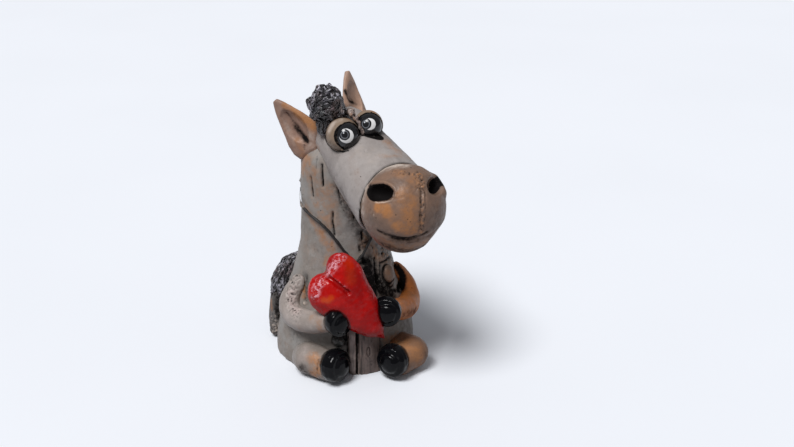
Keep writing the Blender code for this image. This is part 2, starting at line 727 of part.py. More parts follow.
def make_forelock(material, head_frame, seats):
    """A ball of curled strands between the ears, with a lock down either side."""
    centre = Vector(FORELOCK_CENTRE)
    half = Vector((FORELOCK_HALF_WIDTH, FORELOCK_HALF_WIDTH, FORELOCK_HALF_HEIGHT))
    core = bmesh.new()
    ball(core, half * CORE_SHARE, 14, 9, Matrix.Translation(centre))
    strands = bmesh.new()
    for spot, size in FORELOCK_LOCKS:
        toward = Vector(spot) - centre
        frame = aimed(centre + toward * 0.75, toward, (0, 1, 0))
        ball(strands, (size, size, size * 1.7), 8, 6, frame)
    golden = math.pi * (3 - math.sqrt(5))
    for i in range(FORELOCK_STRANDS):
        level = 1 - 1.45 * (i + 0.5) / FORELOCK_STRANDS
        flat = math.sqrt(1 - level * level)
        out = Vector((flat * math.cos(golden * i), flat * math.sin(golden * i), level))
        side = out.cross(Vector((math.sin(3.1 * i), math.cos(1.7 * i), 0.4))).normalized()
        points = []
        for share in (0.0, 0.5, 1.0):
            lean = (out + side * (share - 0.4) * 0.95).normalized()
            reach = 0.80 + 0.30 * math.sin(math.pi * (0.15 + 0.7 * share))
            points.append(centre + lean * half * reach)
        make_strand(strands, points, STRAND_DIAMETER / 2)
    return fused_tuft("forelock", core, strands, material, head_frame, seats)


def brow_beads(grown):
    """The beads of clay in a row over the crown and down the crease where the lids meet."""
    span = EYE_OFFSET[1] - EYE_OFFSET[-1]
    near = (span**2 + LID_RADIUS[-1] ** 2 - LID_RADIUS[1] ** 2) / (2 * span)
    reach = math.sqrt(LID_RADIUS[-1] ** 2 - near**2) + BROW_BEAD_RADIUS * BROW_PROUD
    middle = (EYE_LIFT[-1] + EYE_LIFT[1]) / 2
    for i in range(BROW_BEADS):
        turn = BROW_BACK + (BROW_FRONT - BROW_BACK) * i / (BROW_BEADS - 1)
        forward = EYE_FORWARD + reach * math.sin(turn) * (BROW_STRETCH if turn < 0 else 1.0)
        side = EYE_OFFSET[-1] + near + BROW_SWING * math.sin(2.2 * i)
        lift = middle + reach * math.cos(turn) + BROW_RISE * max(0.0, -math.sin(turn))
        yield Vector((side, -forward, lift)), (BROW_BEAD_RADIUS + grown,) * 3


def make_brow_strands(material, head_frame, seats):
    """Little beads and curls of clay, and the space that they take up."""
    first, others, guide = bmesh.new(), bmesh.new(), bmesh.new()
    for i, (spot, radii) in enumerate(brow_beads(0.0)):
        ball(others if i else first, radii, 8, 6, Matrix.Translation(spot))
    for spot, radii in brow_beads(SLIP_GAP * 1.2):
        ball(guide, radii, 8, 6, Matrix.Translation(spot))
    brow_seat = as_cutter(add_object("brow_guide", guide, None, head_frame))
    return fused_tuft("brow_strands", first, others, material, head_frame, seats), brow_seat


def make_mane(material, head_frame, seats):
    """A low ridge of strands from the back of the skull down the nape."""
    spine = []
    rise = NAPE_HEIGHT - MANE_BOTTOM
    for step in range(7):
        spine.append(body_point(math.pi, MANE_BOTTOM + rise * step / 6, 0.0004))
    for across, behind, up in MANE_TOP:
        spine.append(head_frame.matrix_world @ Vector((across, behind, up)))
    core = bmesh.new()
    radii = ((0.0, MANE_HALF_WIDTH * 0.5), (0.4, MANE_HALF_WIDTH), (1.0, MANE_HALF_WIDTH * 0.8))
    loft(core, roll_rings(path_near(spine, 1), radii, (1, 0, 0), 2), 8)
    strands = bmesh.new()
    for i in range(MANE_STRANDS):
        height = MANE_BOTTOM + 0.003 + (rise - 0.002) * i / (MANE_STRANDS - 1)
        for side in (-1, 1):
            points = []
            reach = 7.5 + 2.5 * math.sin(2.3 * i + side)
            for step in range(3):
                swing = math.radians(2.0 + reach * step) * side
                points.append(body_point(math.pi + swing, height - 0.0026 * step,
                                         MANE_HALF_WIDTH * (0.80, 0.85, 0.35)[step]))
            make_strand(strands, points, STRAND_DIAMETER / 2)
    return fused_tuft("mane", core, strands, material, None, seats)


def tail_point(height):
    """The tail's line up the back of the right haunch."""
    swing = smooth_between(TAIL_SWING, height / TUFT_TOP)
    proud = smooth_between(TAIL_PROUD, height / TUFT_TOP)
    return body_point(math.radians(swing), height, proud)


def make_tail(material, body_seat):
    """The plain roll of the tail, from the ground to the start of its tuft."""
    line = [tail_point(0.0026 + (TUFT_BOTTOM - 0.0020) * step / 6) for step in range(7)]
    mesh = bmesh.new()
    radius = TAIL_DIAMETER / 2
    loft(mesh, roll_rings(line, ((0, radius * 0.9), (1, radius)), (1, 0, 0), 2), 12)
    tail = add_object("tail", mesh, material)
    tail_seat = grown_copy(tail)
    return seat(tail, body_seat), tail_seat


def make_tail_tuft(material, seats):
    """Long strands that sweep up from the tail's end to a point."""
    line = [tail_point(TUFT_BOTTOM + (TUFT_TOP - TUFT_BOTTOM) * step / 8) for step in range(9)]
    core = bmesh.new()
    radii = ((0.0, TUFT_HALF_WIDTH * 0.62), (0.35, TUFT_HALF_WIDTH * 0.85), (1.0, TUFT_HALF_WIDTH * 0.4))
    loft(core, roll_rings(line, radii, (1, 0, 0), 2), 10)
    strands = bmesh.new()
    for i in range(TUFT_STRANDS):
        turn = 2 * math.pi * i / TUFT_STRANDS
        points = []
        for step in range(6):
            share = step / 5
            place = line[min(int(round(share * 8)), 8)]
            frame = aimed(place, line[min(int(share * 8) + 1, 8)] - line[max(int(share * 8) - 1, 0)],
                          (1, 0, 0))
            swell = TUFT_HALF_WIDTH * (0.62 + 0.38 * math.sin(math.pi * share)) * (1 - 0.45 * share)
            spin = turn + 0.9 * share
            points.append(frame @ Vector((swell * math.cos(spin), swell * math.sin(spin), 0.0)))
        make_strand(strands, points, STRAND_DIAMETER / 2)
    return fused_tuft("tail_tuft", core, strands, material, None, seats)


def hind_leg_joints(side):
    """Hip, knee and ankle of a hind leg with their radii, and the middle of its hoof."""
    hip = body_point(side * HIP_ANGLE[side], HIP_RADIUS + FOOT_LIFT, HIP_PROUD[side])
    knee = body_point(side * KNEE_ANGLE[side], KNEE_RADIUS + FOOT_LIFT, KNEE_PROUD[side])
    hoof = body_point(side * HOOF_ANGLE[side], HIND_HOOF_HALF_WIDTH + FOOT_LIFT, HOOF_PROUD[side])
    ankle = hoof + (knee - hoof).normalized() * HIND_HOOF_LENGTH * 0.30
    ankle.z = ANKLE_RADIUS + FOOT_LIFT
    return ((hip, HIP_RADIUS), (knee, KNEE_RADIUS), (ankle, ANKLE_RADIUS)), hoof


def stub(mesh, joints, sides=16, rows=10):
    """A stout lump that wraps a ball at every joint."""
    for centre, radius in joints:
        ball(mesh, (radius, radius, radius), sides, rows, Matrix.Translation(centre))
    hull = bmesh.ops.convex_hull(mesh, input=mesh.verts[:])
    inner = {g for g in hull["geom_interior"] + hull["geom_unused"] if isinstance(g, bmesh.types.BMVert)}
    bmesh.ops.delete(mesh, geom=list(inner), context="VERTS")
    kept = {g for g in hull["geom"] if isinstance(g, bmesh.types.BMFace)}
    loose = [face for face in mesh.faces if face not in kept]
    bmesh.ops.delete(mesh, geom=loose, context="FACES_ONLY")


def hoof_form(name, centre, along, half_width, length, material):
    """A rounded hoof, blunt in front."""
    frame = aimed(centre, along, (0, 0, 1))
    mesh = bmesh.new()
    ball(mesh, (half_width, half_width, length / 2), 18, 10)
    for vert in mesh.verts:
        if vert.co.z > 0:
            vert.co.z *= 0.86
    return add_object(name, mesh, material, None, frame)


def make_hind_legs(materials, seats):
    """Two stout legs and their hooves."""
    leg_material, hoof_material = materials
    made = []
    for side, word in SIDES:
        joints, centre = hind_leg_joints(side)
        mesh = bmesh.new()
        stub(mesh, joints)
        leg = add_object("hind_leg_" + word, mesh, leg_material)
        leg_seat = grown_copy(leg)
        along = centre - joints[1][0]
        hoof = hoof_form("hind_hoof_" + word, centre, along, HIND_HOOF_HALF_WIDTH,
                         HIND_HOOF_LENGTH, hoof_material)
        hoof_seat = grown_copy(hoof)
        seat(leg, *seats)
        seat(hoof, leg_seat, *seats)
        made += [leg_seat, hoof_seat]
    return made


def foreleg_line(side):
    """Shoulder, elbow, forearm and wrist of a foreleg."""
    shoulder = body_point(side * math.radians(72), SHOULDER_HEIGHT, -0.0010)
    upper = body_point(side * math.radians(76), (SHOULDER_HEIGHT + ELBOW_HEIGHT) / 2, 0.0010)
    elbow = body_point(side * math.radians(70), ELBOW_HEIGHT, 0.0012)
    forearm = body_point(side * math.radians(45), ELBOW_HEIGHT, 0.0038)
    wrist = body_point(side * WRIST_ANGLE[side], WRIST_HEIGHT[side], 0.0070)
    return path_near((shoulder, upper, elbow, forearm, wrist), 3)


def make_forelegs(materials, seats):
    """Two bent legs and the hooves that hold the heart."""
    leg_material, hoof_material = materials
    made = []
    for side, word in SIDES:
        line = foreleg_line(side)
        mesh = bmesh.new()
        radii = ((0, FORELEG_SHOULDER_RADIUS), (0.5, FORELEG_ELBOW_RADIUS), (1, FORELEG_WRIST_RADIUS))
        loft(mesh, roll_rings(line, radii, (1, 0, 0)), 14)
        leg = add_object("foreleg_" + word, mesh, leg_material)
        leg_seat = grown_copy(leg)
        along = (line[-1] - line[-3]).normalized()
        along = (along + Vector((-0.15 * side, -0.5, 0.05))).normalized()
        centre = line[-1] + along * FORELEG_WRIST_RADIUS * FORE_HOOF_REACH
        hoof = hoof_form("fore_hoof_" + word, centre, along, FORE_HOOF_HALF_WIDTH,
                         FORE_HOOF_LENGTH * 1.35, hoof_material)
        hoof_seat = grown_copy(hoof)
        seat(leg, *seats, hoof_seat)
        seat(hoof, *seats)
        made += [leg_seat, hoof_seat]
    return made


def heart_reach(direction):
    """Distance from the middle to the surface of the heart's standard solid."""
    x, y, z = direction

    def outside(r):
        a, b, c = x * r, y * r, z * r
        core = a * a + 2.25 * b * b + c * c - 1
        return core**3 - a * a * c**3 - 0.1125 * b * b * c**3 > 0

    low, high = 0.2, 1.6
    for _ in range(30):
        middle = (low + high) / 2
        if outside(middle):
            high = middle
        else:
            low = middle
    return low


def make_heart(material, seats):
    """The puffed heart, its lobes up to the right and its tip down to the left."""
    mesh = bmesh.new()
    ball(mesh, (1, 1, 1), 26, 18)
    for vert in mesh.verts:
        vert.co = vert.co.normalized() * heart_reach(vert.co.normalized())
    low = min(v.co.z for v in mesh.verts)
    high = max(v.co.z for v in mesh.verts)
    for vert in mesh.verts:
        taper = smooth_between(HEART_TAPER, (vert.co.z - low) / (high - low))
        vert.co.x *= taper
        vert.co.y *= taper
    wide = max(v.co.x for v in mesh.verts)
    thick = max(v.co.y for v in mesh.verts)
    middle = (low + high) / 2
    for vert in mesh.verts:
        vert.co.x *= HEART_WIDTH / (2 * wide)
        vert.co.y *= HEART_THICKNESS / (2 * thick)
        share = (vert.co.z - low) / (high - low)
        vert.co.z = (vert.co.z - middle) * HEART_LENGTH / (high - low)
        vert.co.z -= HEART_DROOP * max(0.0, -vert.co.x) * share
    chest = body_point(0.0, HEART_HEIGHT)
    stand_off = STRIP_THICKNESS + HEART_THICKNESS * 0.5 + SLIP_GAP
    spot = Vector((HEART_SIDE, chest.y - stand_off, HEART_HEIGHT))
    turn = Euler((HEART_LEAN * -1, 0.0, HEART_TURN), "YXZ").to_matrix()
    roll = Euler((0.0, -HEART_ROLL, 0.0), "YXZ").to_matrix()
    frame = Matrix.Translation(spot) @ (turn @ roll).to_4x4()
    heart = add_object("heart", mesh, material, None, frame)
    heart_seat = grown_copy(heart)
    return seat(heart, *seats), heart_seat


def make_knob(material, seats):
    """The small dark ball pressed on between the right hooves."""
    spot = body_point(KNOB_ANGLE, KNOB_HEIGHT, KNOB_RADIUS * 0.5)
    mesh = bmesh.new()
    ball(mesh, (KNOB_RADIUS, KNOB_RADIUS, KNOB_RADIUS), 12, 8, Matrix.Translation(spot))
    return seat(add_object("belly_knob", mesh, material), *seats)


def make_chest_lump(material, seats):
    """The oval lump of clay in the bend of the left foreleg."""
    mesh = bmesh.new()
    ball(mesh, (LUMP_HALF_WIDTH, LUMP_HALF_WIDTH * 0.8, LUMP_HALF_HEIGHT), 14, 10)
    frame = Matrix.Translation(body_point(LUMP_ANGLE, LUMP_HEIGHT)) @ Matrix.Rotation(LUMP_ANGLE, 4, "Z")
    return seat(add_object("chest_lump", mesh, material, None, frame), *seats)


def build():
    """Make every lump in the order that the potter would stick them together."""
    clear_scene()
    grey = clay("grey_clay", CLAY_GREY, 0.75)
    brown = clay("brown_clay", CLAY_BROWN, 0.7)
    tan = clay("tan_clay", CLAY_TAN, 0.65)
    dark = clay("black_oxide", OXIDE_BLACK, 0.35, 0.3)
    hoof_glaze = clay("black_glaze", GLAZE_BLACK, 0.12)
    red_glaze = clay("red_glaze", GLAZE_RED, 0.15)

    _, body_seat = make_body(grey)
    make_base_plate(grey)
    _, strip_seat = make_belly_strip(grey, body_seat)
    _, cord_seat = make_neck_cord(dark)

    head_frame = make_head_frame()
    muzzle = make_muzzle_form(head_frame)
    muzzle_seat = grown_copy(muzzle)
    _, head_seat = make_head(grey, head_frame, (body_seat, cord_seat, muzzle_seat))
    make_muzzle(brown, muzzle)
    eye_seats = make_eyes((tan, hoof_glaze), head_frame, head_seat)
    ear_seats = make_ears(brown, head_frame, (body_seat, head_seat))
    _, brow_seat = make_brow_strands(tan, head_frame, (head_seat, *eye_seats, *ear_seats))
    top_seats = (head_seat, body_seat, brow_seat, *eye_seats, *ear_seats)
    make_forelock(dark, head_frame, top_seats)
    make_mane(dark, head_frame, (body_seat, head_seat, cord_seat, *ear_seats))

    heart, heart_seat = make_heart(red_glaze, (body_seat, strip_seat, cord_seat))
    hind_seats = make_hind_legs((brown, hoof_glaze), (body_seat, strip_seat))
    fore_seats = make_forelegs((brown, hoof_glaze), (body_seat, heart_seat, strip_seat, *hind_seats))
    front_seats = (body_seat, heart_seat, strip_seat, *hind_seats, *fore_seats)
    make_knob(dark, front_seats)
    make_chest_lump(brown, (cord_seat, *front_seats))
    _, tail_seat = make_tail(brown, body_seat)
    make_tail_tuft(dark, (body_seat, tail_seat))


build()
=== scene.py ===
"""Seated donkey figurine of fired clay: fine clay work, finishes, floor, light and camera."""

import logging
import math
from dataclasses import dataclass, field
from enum import Enum
from typing import ClassVar, Iterable, Sequence

import bmesh
import bpy
import numpy as np
from mathutils import Matrix, Vector, noise
from mathutils.bvhtree import BVHTree


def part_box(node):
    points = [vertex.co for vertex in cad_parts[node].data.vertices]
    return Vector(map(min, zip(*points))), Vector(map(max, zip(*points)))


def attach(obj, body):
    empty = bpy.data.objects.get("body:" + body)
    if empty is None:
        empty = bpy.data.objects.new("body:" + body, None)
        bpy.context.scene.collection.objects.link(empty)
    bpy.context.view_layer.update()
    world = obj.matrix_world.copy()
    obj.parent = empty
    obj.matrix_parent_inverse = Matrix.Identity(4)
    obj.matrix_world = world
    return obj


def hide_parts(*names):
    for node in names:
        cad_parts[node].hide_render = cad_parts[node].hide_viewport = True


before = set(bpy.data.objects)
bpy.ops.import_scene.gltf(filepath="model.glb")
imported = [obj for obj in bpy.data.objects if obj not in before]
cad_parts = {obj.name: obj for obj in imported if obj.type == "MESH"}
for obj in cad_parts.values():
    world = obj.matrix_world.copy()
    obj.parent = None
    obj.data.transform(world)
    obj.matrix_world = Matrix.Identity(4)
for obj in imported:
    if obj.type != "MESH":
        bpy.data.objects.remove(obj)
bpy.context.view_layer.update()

log = logging.getLogger("donkey_figurine")
Colour = tuple[float, float, float]
# A place in the view: picture points across and down.
Spot = tuple[float, float]
# A noise pattern: patches per metre, octaves and roughness.
Pattern = tuple[float, ...]
# Two values of a pattern, and the result at each, which is 0 and 1 when it isn't given.
Band = tuple[float, ...]
# A fine relief: its height in metres and its share.
Relief = tuple[float, float]
Pair = tuple[float, float]
MM = 0.001


class Wash(Enum):
    """The stains that the maker brushed on, each a point attribute of a mesh; the dark and crevice washes
    also hold painted shade, and the pale wash painted highlights.
    """

    RUST = "rust"
    DARK = "dark"
    PINK = "pink"
    PALE = "pale"
    CREVICE = "crevice"


@dataclass(frozen=True)
class SightLines:
    """The camera that the figure is placed by, and its lines of sight."""

    azimuth: float = math.radians(-17.0)
    elevation: float = math.radians(22.5)
    reach: float = 1100.0
    distance: float = 0.400
    foot: Spot = (348.0, 345.0)
    width: float = 794.0
    height: float = 447.0
    sensor: float = 36.0
    clip: float = 0.01
    search_from: float = 0.28
    search_step: float = 0.002
    search_steps: int = 90

    def axes(self) -> tuple[Vector, Vector, Vector]:
        """The camera's right, up and back directions.

        Returns:
            Three unit vectors.
        """
        a, e = self.azimuth, self.elevation
        back = Vector((math.sin(a) * math.cos(e), -math.cos(a) * math.cos(e), math.sin(e)))
        right = Vector((math.cos(a), math.sin(a), 0.0))
        return right, back.cross(right), back

    def slopes(self, spot: Spot) -> Spot:
        """How far right of and above the view's middle a spot lies, one unit away."""
        return (spot[0] - self.width / 2) / self.reach, (self.height / 2 - spot[1]) / self.reach

    def station(self) -> Vector:
        """The camera's place.

        Returns:
            A point in metres.
        """
        right, up, back = self.axes()
        across, rise = self.slopes(self.foot)
        return (back - right * across - up * rise) * self.distance

    def sight(self, spot: Spot) -> Vector:
        """The direction of the line of sight through one spot of the view.

        Args:
            spot: The spot.

        Returns:
            A unit vector away from the camera.
        """
        right, up, back = self.axes()
        across, rise = self.slopes(spot)
        return (right * across + up * rise - back).normalized()

    def land(self, tree: BVHTree, spot: Spot) -> Vector:
        """The point where a line of sight meets a piece, or passes nearest to it.

        Args:
            tree: The piece's faces.
            spot: The spot that the line passes.

        Returns:
            A point on the piece.
        """
        start, line = self.station(), self.sight(spot)
        hit = tree.ray_cast(start, line)[0]
        if hit is not None:
            return hit
        tried = (start + line * (self.search_from + self.search_step * step)
                 for step in range(self.search_steps))
        best = min(tried, key=lambda point: tree.find_nearest(point)[3])
        return tree.find_nearest(best)[0]

    def seen(self, rows: np.ndarray) -> np.ndarray:
        """Where points show in the view.

        Args:
            rows: The points.

        Returns:
            For each point its spot across and down, and its distance along the view.
        """
        right, up, back = (np.array(axis) for axis in self.axes())
        gap = rows - np.array(self.station())
        far = -(gap @ back)
        across = gap @ right / far * self.reach + self.width / 2
        down = self.height / 2 - gap @ up / far * self.reach
        return np.stack([across, down, far], 1)

    def grain(self, point: Vector) -> float:
        """How many metres one picture point covers at a place."""
        return (self.station() - point).dot(self.axes()[2]) / self.reach

    def add_camera(self) -> None:
        """Set up the scene's camera."""
        data = bpy.data.cameras.new("view")
        data.sensor_width = self.sensor
        data.lens = self.reach / self.width * self.sensor
        data.clip_start = self.clip
        camera = add_object("view", data)
        camera.location = self.station()
        turn_towards(camera, -self.axes()[2])
        bpy.context.scene.camera = camera


def add_object(name: str, data: bpy.types.ID) -> bpy.types.Object:
    """Put a new object into the scene.

    Args:
        name: Its name.
        data: Its mesh, lamp or camera.

    Returns:
        The object, at the origin.
    """
    obj = bpy.data.objects.new(name, data)
    bpy.context.scene.collection.objects.link(obj)
    return obj


def turn_towards(obj: bpy.types.Object, heading: Vector) -> None:
    """Point a lamp or camera along a direction."""
    obj.rotation_mode = "QUATERNION"
    obj.rotation_quaternion = heading.to_track_quat("-Z", "Y")


SIGHT = SightLines()


@dataclass(frozen=True)
class Stroke:
    """One stroke of a brush or a modelling tool, drawn along spots of the view.

    Radius, depth, through and crumble are in millimetres. A stroke follows the surface, or
    with a value in through it is drawn straight along the line of sight, that far before
    and behind. A value in crumble roughens the clay that much, with its stain on the
    crumbs and oxide in the pits. A soft of 0 gives the wash a crisp edge. Washes are
    stains, painted shade and painted highlights.
    """

    label: str
    spots: tuple[Spot, ...]
    radius: float
    wash: Wash
    strength: float
    depth: float = 0.0
    soft: float = 1.0
    through: float = 0.0
    crumble: float = 0.0


@dataclass(frozen=True)
class Brush:
    """A brush for one wash; the washes are stains that the maker brushed on, painted shade and painted
    highlights.
    """

    wash: Wash

    def __call__(self, label: str, radius: float, strength: float, *spots: Spot,
                 **more: float) -> Stroke:
        """Draw one stroke.

        Args:
            label: What it is on the figure.
            radius: Half its width in millimetres.
            strength: How strong its wash is.
            spots: Where it passes in the view.
            more: Its depth, soft, through and crumble.

        Returns:
            The stroke.
        """
        return Stroke(label, spots, radius, self.wash, strength, **more)


rust, dark, pink, pale, black = map(Brush, Wash)


@dataclass(frozen=True)
class Press:
    """A push of the hand: what shows beyond a line of the view is brought back towards it.

    The line passes through a spot, across the direction (in picture points, across and
    down). The kept share of the distance beyond the line stays.
    """

    label: str
    spot: Spot
    direction: Spot
    kept: float


ROUND_STEP = 20.0


def rounded(centre: Spot, half: Spot, start: float = 0.0, end: float = 360.0) -> tuple[Spot, ...]:
    """Spots along an ellipse of the view.

    Args:
        centre: Its middle.
        half: Its half width and half height.
        start: First angle in degrees, from the right and turning down.
        end: Last angle.

    Returns:
        The spots.
    """
    steps = max(3, round(abs(end - start) / ROUND_STEP))
    angles = (math.radians(start + (end - start) * step / steps) for step in range(steps + 1))
    return tuple((centre[0] + half[0] * math.cos(turn), centre[1] + half[1] * math.sin(turn))
                 for turn in angles)


class Graph:
    """A short hand for building a material's nodes."""

    MIX_SHARE: ClassVar[int] = 0
    MIX_COLOURS: ClassVar[tuple[int, int]] = (6, 7)
    MIX_RESULT: ClassVar[int] = 2
    WASH_LIFT: ClassVar[float] = 0.5
    WASH_COVER: ClassVar[Band] = (0.46, 0.98)
    WASH_LEAST: ClassVar[float] = 0.12
    WASH_PATCHES: ClassVar[Band] = (0.36, 0.62)
    WASH_THICKEST: ClassVar[float] = 1.12

    def __init__(self, name: str) -> None:
        """Start a material with its shader.

        Args:
            name: The material's name.
        """
        self.material = bpy.data.materials.new(name)
        self.material.use_nodes = True
        self.tree = self.material.node_tree
        self.shader = self.tree.nodes["Principled BSDF"]
        self.place = self.tree.nodes.new("ShaderNodeTexCoord").outputs["Object"]

    def node(self, kind: str, **values: object) -> bpy.types.Node:
        """Add a node and set its properties.

        Args:
            kind: The node's type.
            values: Property names and values.

        Returns:
            The new node.
        """
        made = self.tree.nodes.new(kind)
        for key, value in values.items():
            setattr(made, key, value)
        return made

    def link(self, source: object, target: object) -> None:
        """Join two sockets, or set the target to a constant."""
        if isinstance(source, bpy.types.NodeSocket):
            self.tree.links.new(source, target)
        else:
            target.default_value = source

    def shade(self, sources: dict[str, object]) -> None:
        """Set the shader's own sockets, each from a socket or to a constant."""
        for name, source in sources.items():
            self.link(source, self.shader.inputs[name])

    def math(self, kind: str, first: object, second: object = 0.0, clamp: bool = False) -> object:
        """One sum on two values.

        Args:
            kind: The operation.
            first: A socket or number.
            second: A socket or number.
            clamp: Keep the result between 0 and 1.

        Returns:
            The result's socket.
        """
        made = self.node("ShaderNodeMath", operation=kind, use_clamp=clamp)
        self.link(first, made.inputs[0])
        self.link(second, made.inputs[1])
        return made.outputs[0]

    def wash(self, wash: Wash) -> object:
        """The socket of one wash; washes are brushed-on stains, painted shade and painted highlights."""
        return self.node("ShaderNodeAttribute", attribute_name=wash.value).outputs["Fac"]

    def broken(self, wash: Wash, patches: object, thinnest: float = 0.6) -> object:
        """A wash whose edge breaks up into patches, for stains, painted shade and painted highlights
        alike.

        Args:
            wash: The wash.
            patches: The noise that breaks it up.
            thinnest: The share that stays where it is brushed on thinly.

        Returns:
            The socket of its share of the colour.
        """
        amount = self.wash(wash)
        lifted = self.math("ADD", patches, self.math("MULTIPLY", amount, self.WASH_LIFT))
        cover = self.math("ADD", self.ramp(lifted, *self.WASH_COVER), self.WASH_LEAST)
        uneven = self.ramp(patches, *self.WASH_PATCHES, thinnest, self.WASH_THICKEST)
        return self.math("MULTIPLY", self.math("MULTIPLY", amount, uneven), cover, True)

    def noise(self, scale: float, detail: float = 3.0, rough: float = 0.55,
              stretch: Sequence[float] = (1.0, 1.0, 1.0)) -> object:
        """A noise pattern that is fixed to the piece.

        Args:
            scale: Patches per metre.
            detail: Octaves.
            rough: How strong the fine octaves are.
            stretch: Scale along each axis.

        Returns:
            The noise's factor socket.
        """
        mapping = self.node("ShaderNodeMapping")
        self.link(self.place, mapping.inputs["Vector"])
        mapping.inputs["Scale"].default_value = stretch
        made = self.node("ShaderNodeTexNoise")
        for name, value in (("Vector", mapping.outputs[0]), ("Scale", scale),
                            ("Detail", detail), ("Roughness", rough)):
            self.link(value, made.inputs[name])
        return made.outputs["Fac"]

    def pits(self, scale: float) -> object:
        """Distance to scattered points, for pits and grog."""
        made = self.node("ShaderNodeTexVoronoi")
        self.link(self.place, made.inputs["Vector"])
        made.inputs["Scale"].default_value = scale
        return made.outputs["Distance"]

    def ramp(self, value: object, low: float, high: float, start: float = 0.0,
             end: float = 1.0) -> object:
        """Carry a value from one range smoothly to another.

        Args:
            value: The socket to read.
            low: Where it starts to rise.
            high: Where it is full.
            start: The result at low.
            end: The result at high.

        Returns:
            The result's socket.
        """
        made = self.node("ShaderNodeMapRange", interpolation_type="SMOOTHSTEP")
        self.link(value, made.inputs["Value"])
        for key, number in (("From Min", low), ("From Max", high), ("To Min", start), ("To Max", end)):
            made.inputs[key].default_value = number
        return made.outputs["Result"]

    def mix(self, share: object, first: object, second: object) -> object:
        """Mix two colours.

        Args:
            share: Socket or number, 0 for the first and 1 for the second.
            first: Socket or colour.
            second: Socket or colour.

        Returns:
            The mixed colour's socket.
        """
        made = self.node("ShaderNodeMix", data_type="RGBA")
        self.link(share, made.inputs[self.MIX_SHARE])
        for colour, index in zip((first, second), self.MIX_COLOURS):
            solid = colour if isinstance(colour, bpy.types.NodeSocket) else (*colour, 1.0)
            self.link(solid, made.inputs[index])
        return made.outputs[self.MIX_RESULT]

    def bump(self, height: object, distance: float, strength: float) -> None:
        """Give the shader a fine relief.

        Args:
            height: The relief's socket.
            distance: Its height in metres.
            strength: Its share.
        """
        made = self.node("ShaderNodeBump")
        normal = self.shader.inputs["Normal"]
        for name, value in (("Height", height), ("Distance", distance), ("Strength", strength)):
            self.link(value, made.inputs[name])
        if normal.is_linked:
            self.link(normal.links[0].from_socket, made.inputs["Normal"])
        self.link(made.outputs[0], normal)


RUST_ORANGE: Colour = (0.42, 0.185, 0.070)
# Near black: oxide in slits, specks and hollows, and also the painted shade that the dark and crevice
# washes lay on.
OXIDE_AND_SHADE_DARK: Colour = (0.008, 0.007, 0.007)
RAW_PINK: Colour = (0.46, 0.375, 0.350)
# Pale clay of worn edges, and of the painted highlights that the pale wash lays on.
PALE_EDGE_AND_HIGHLIGHT: Colour = (0.62, 0.52, 0.45)


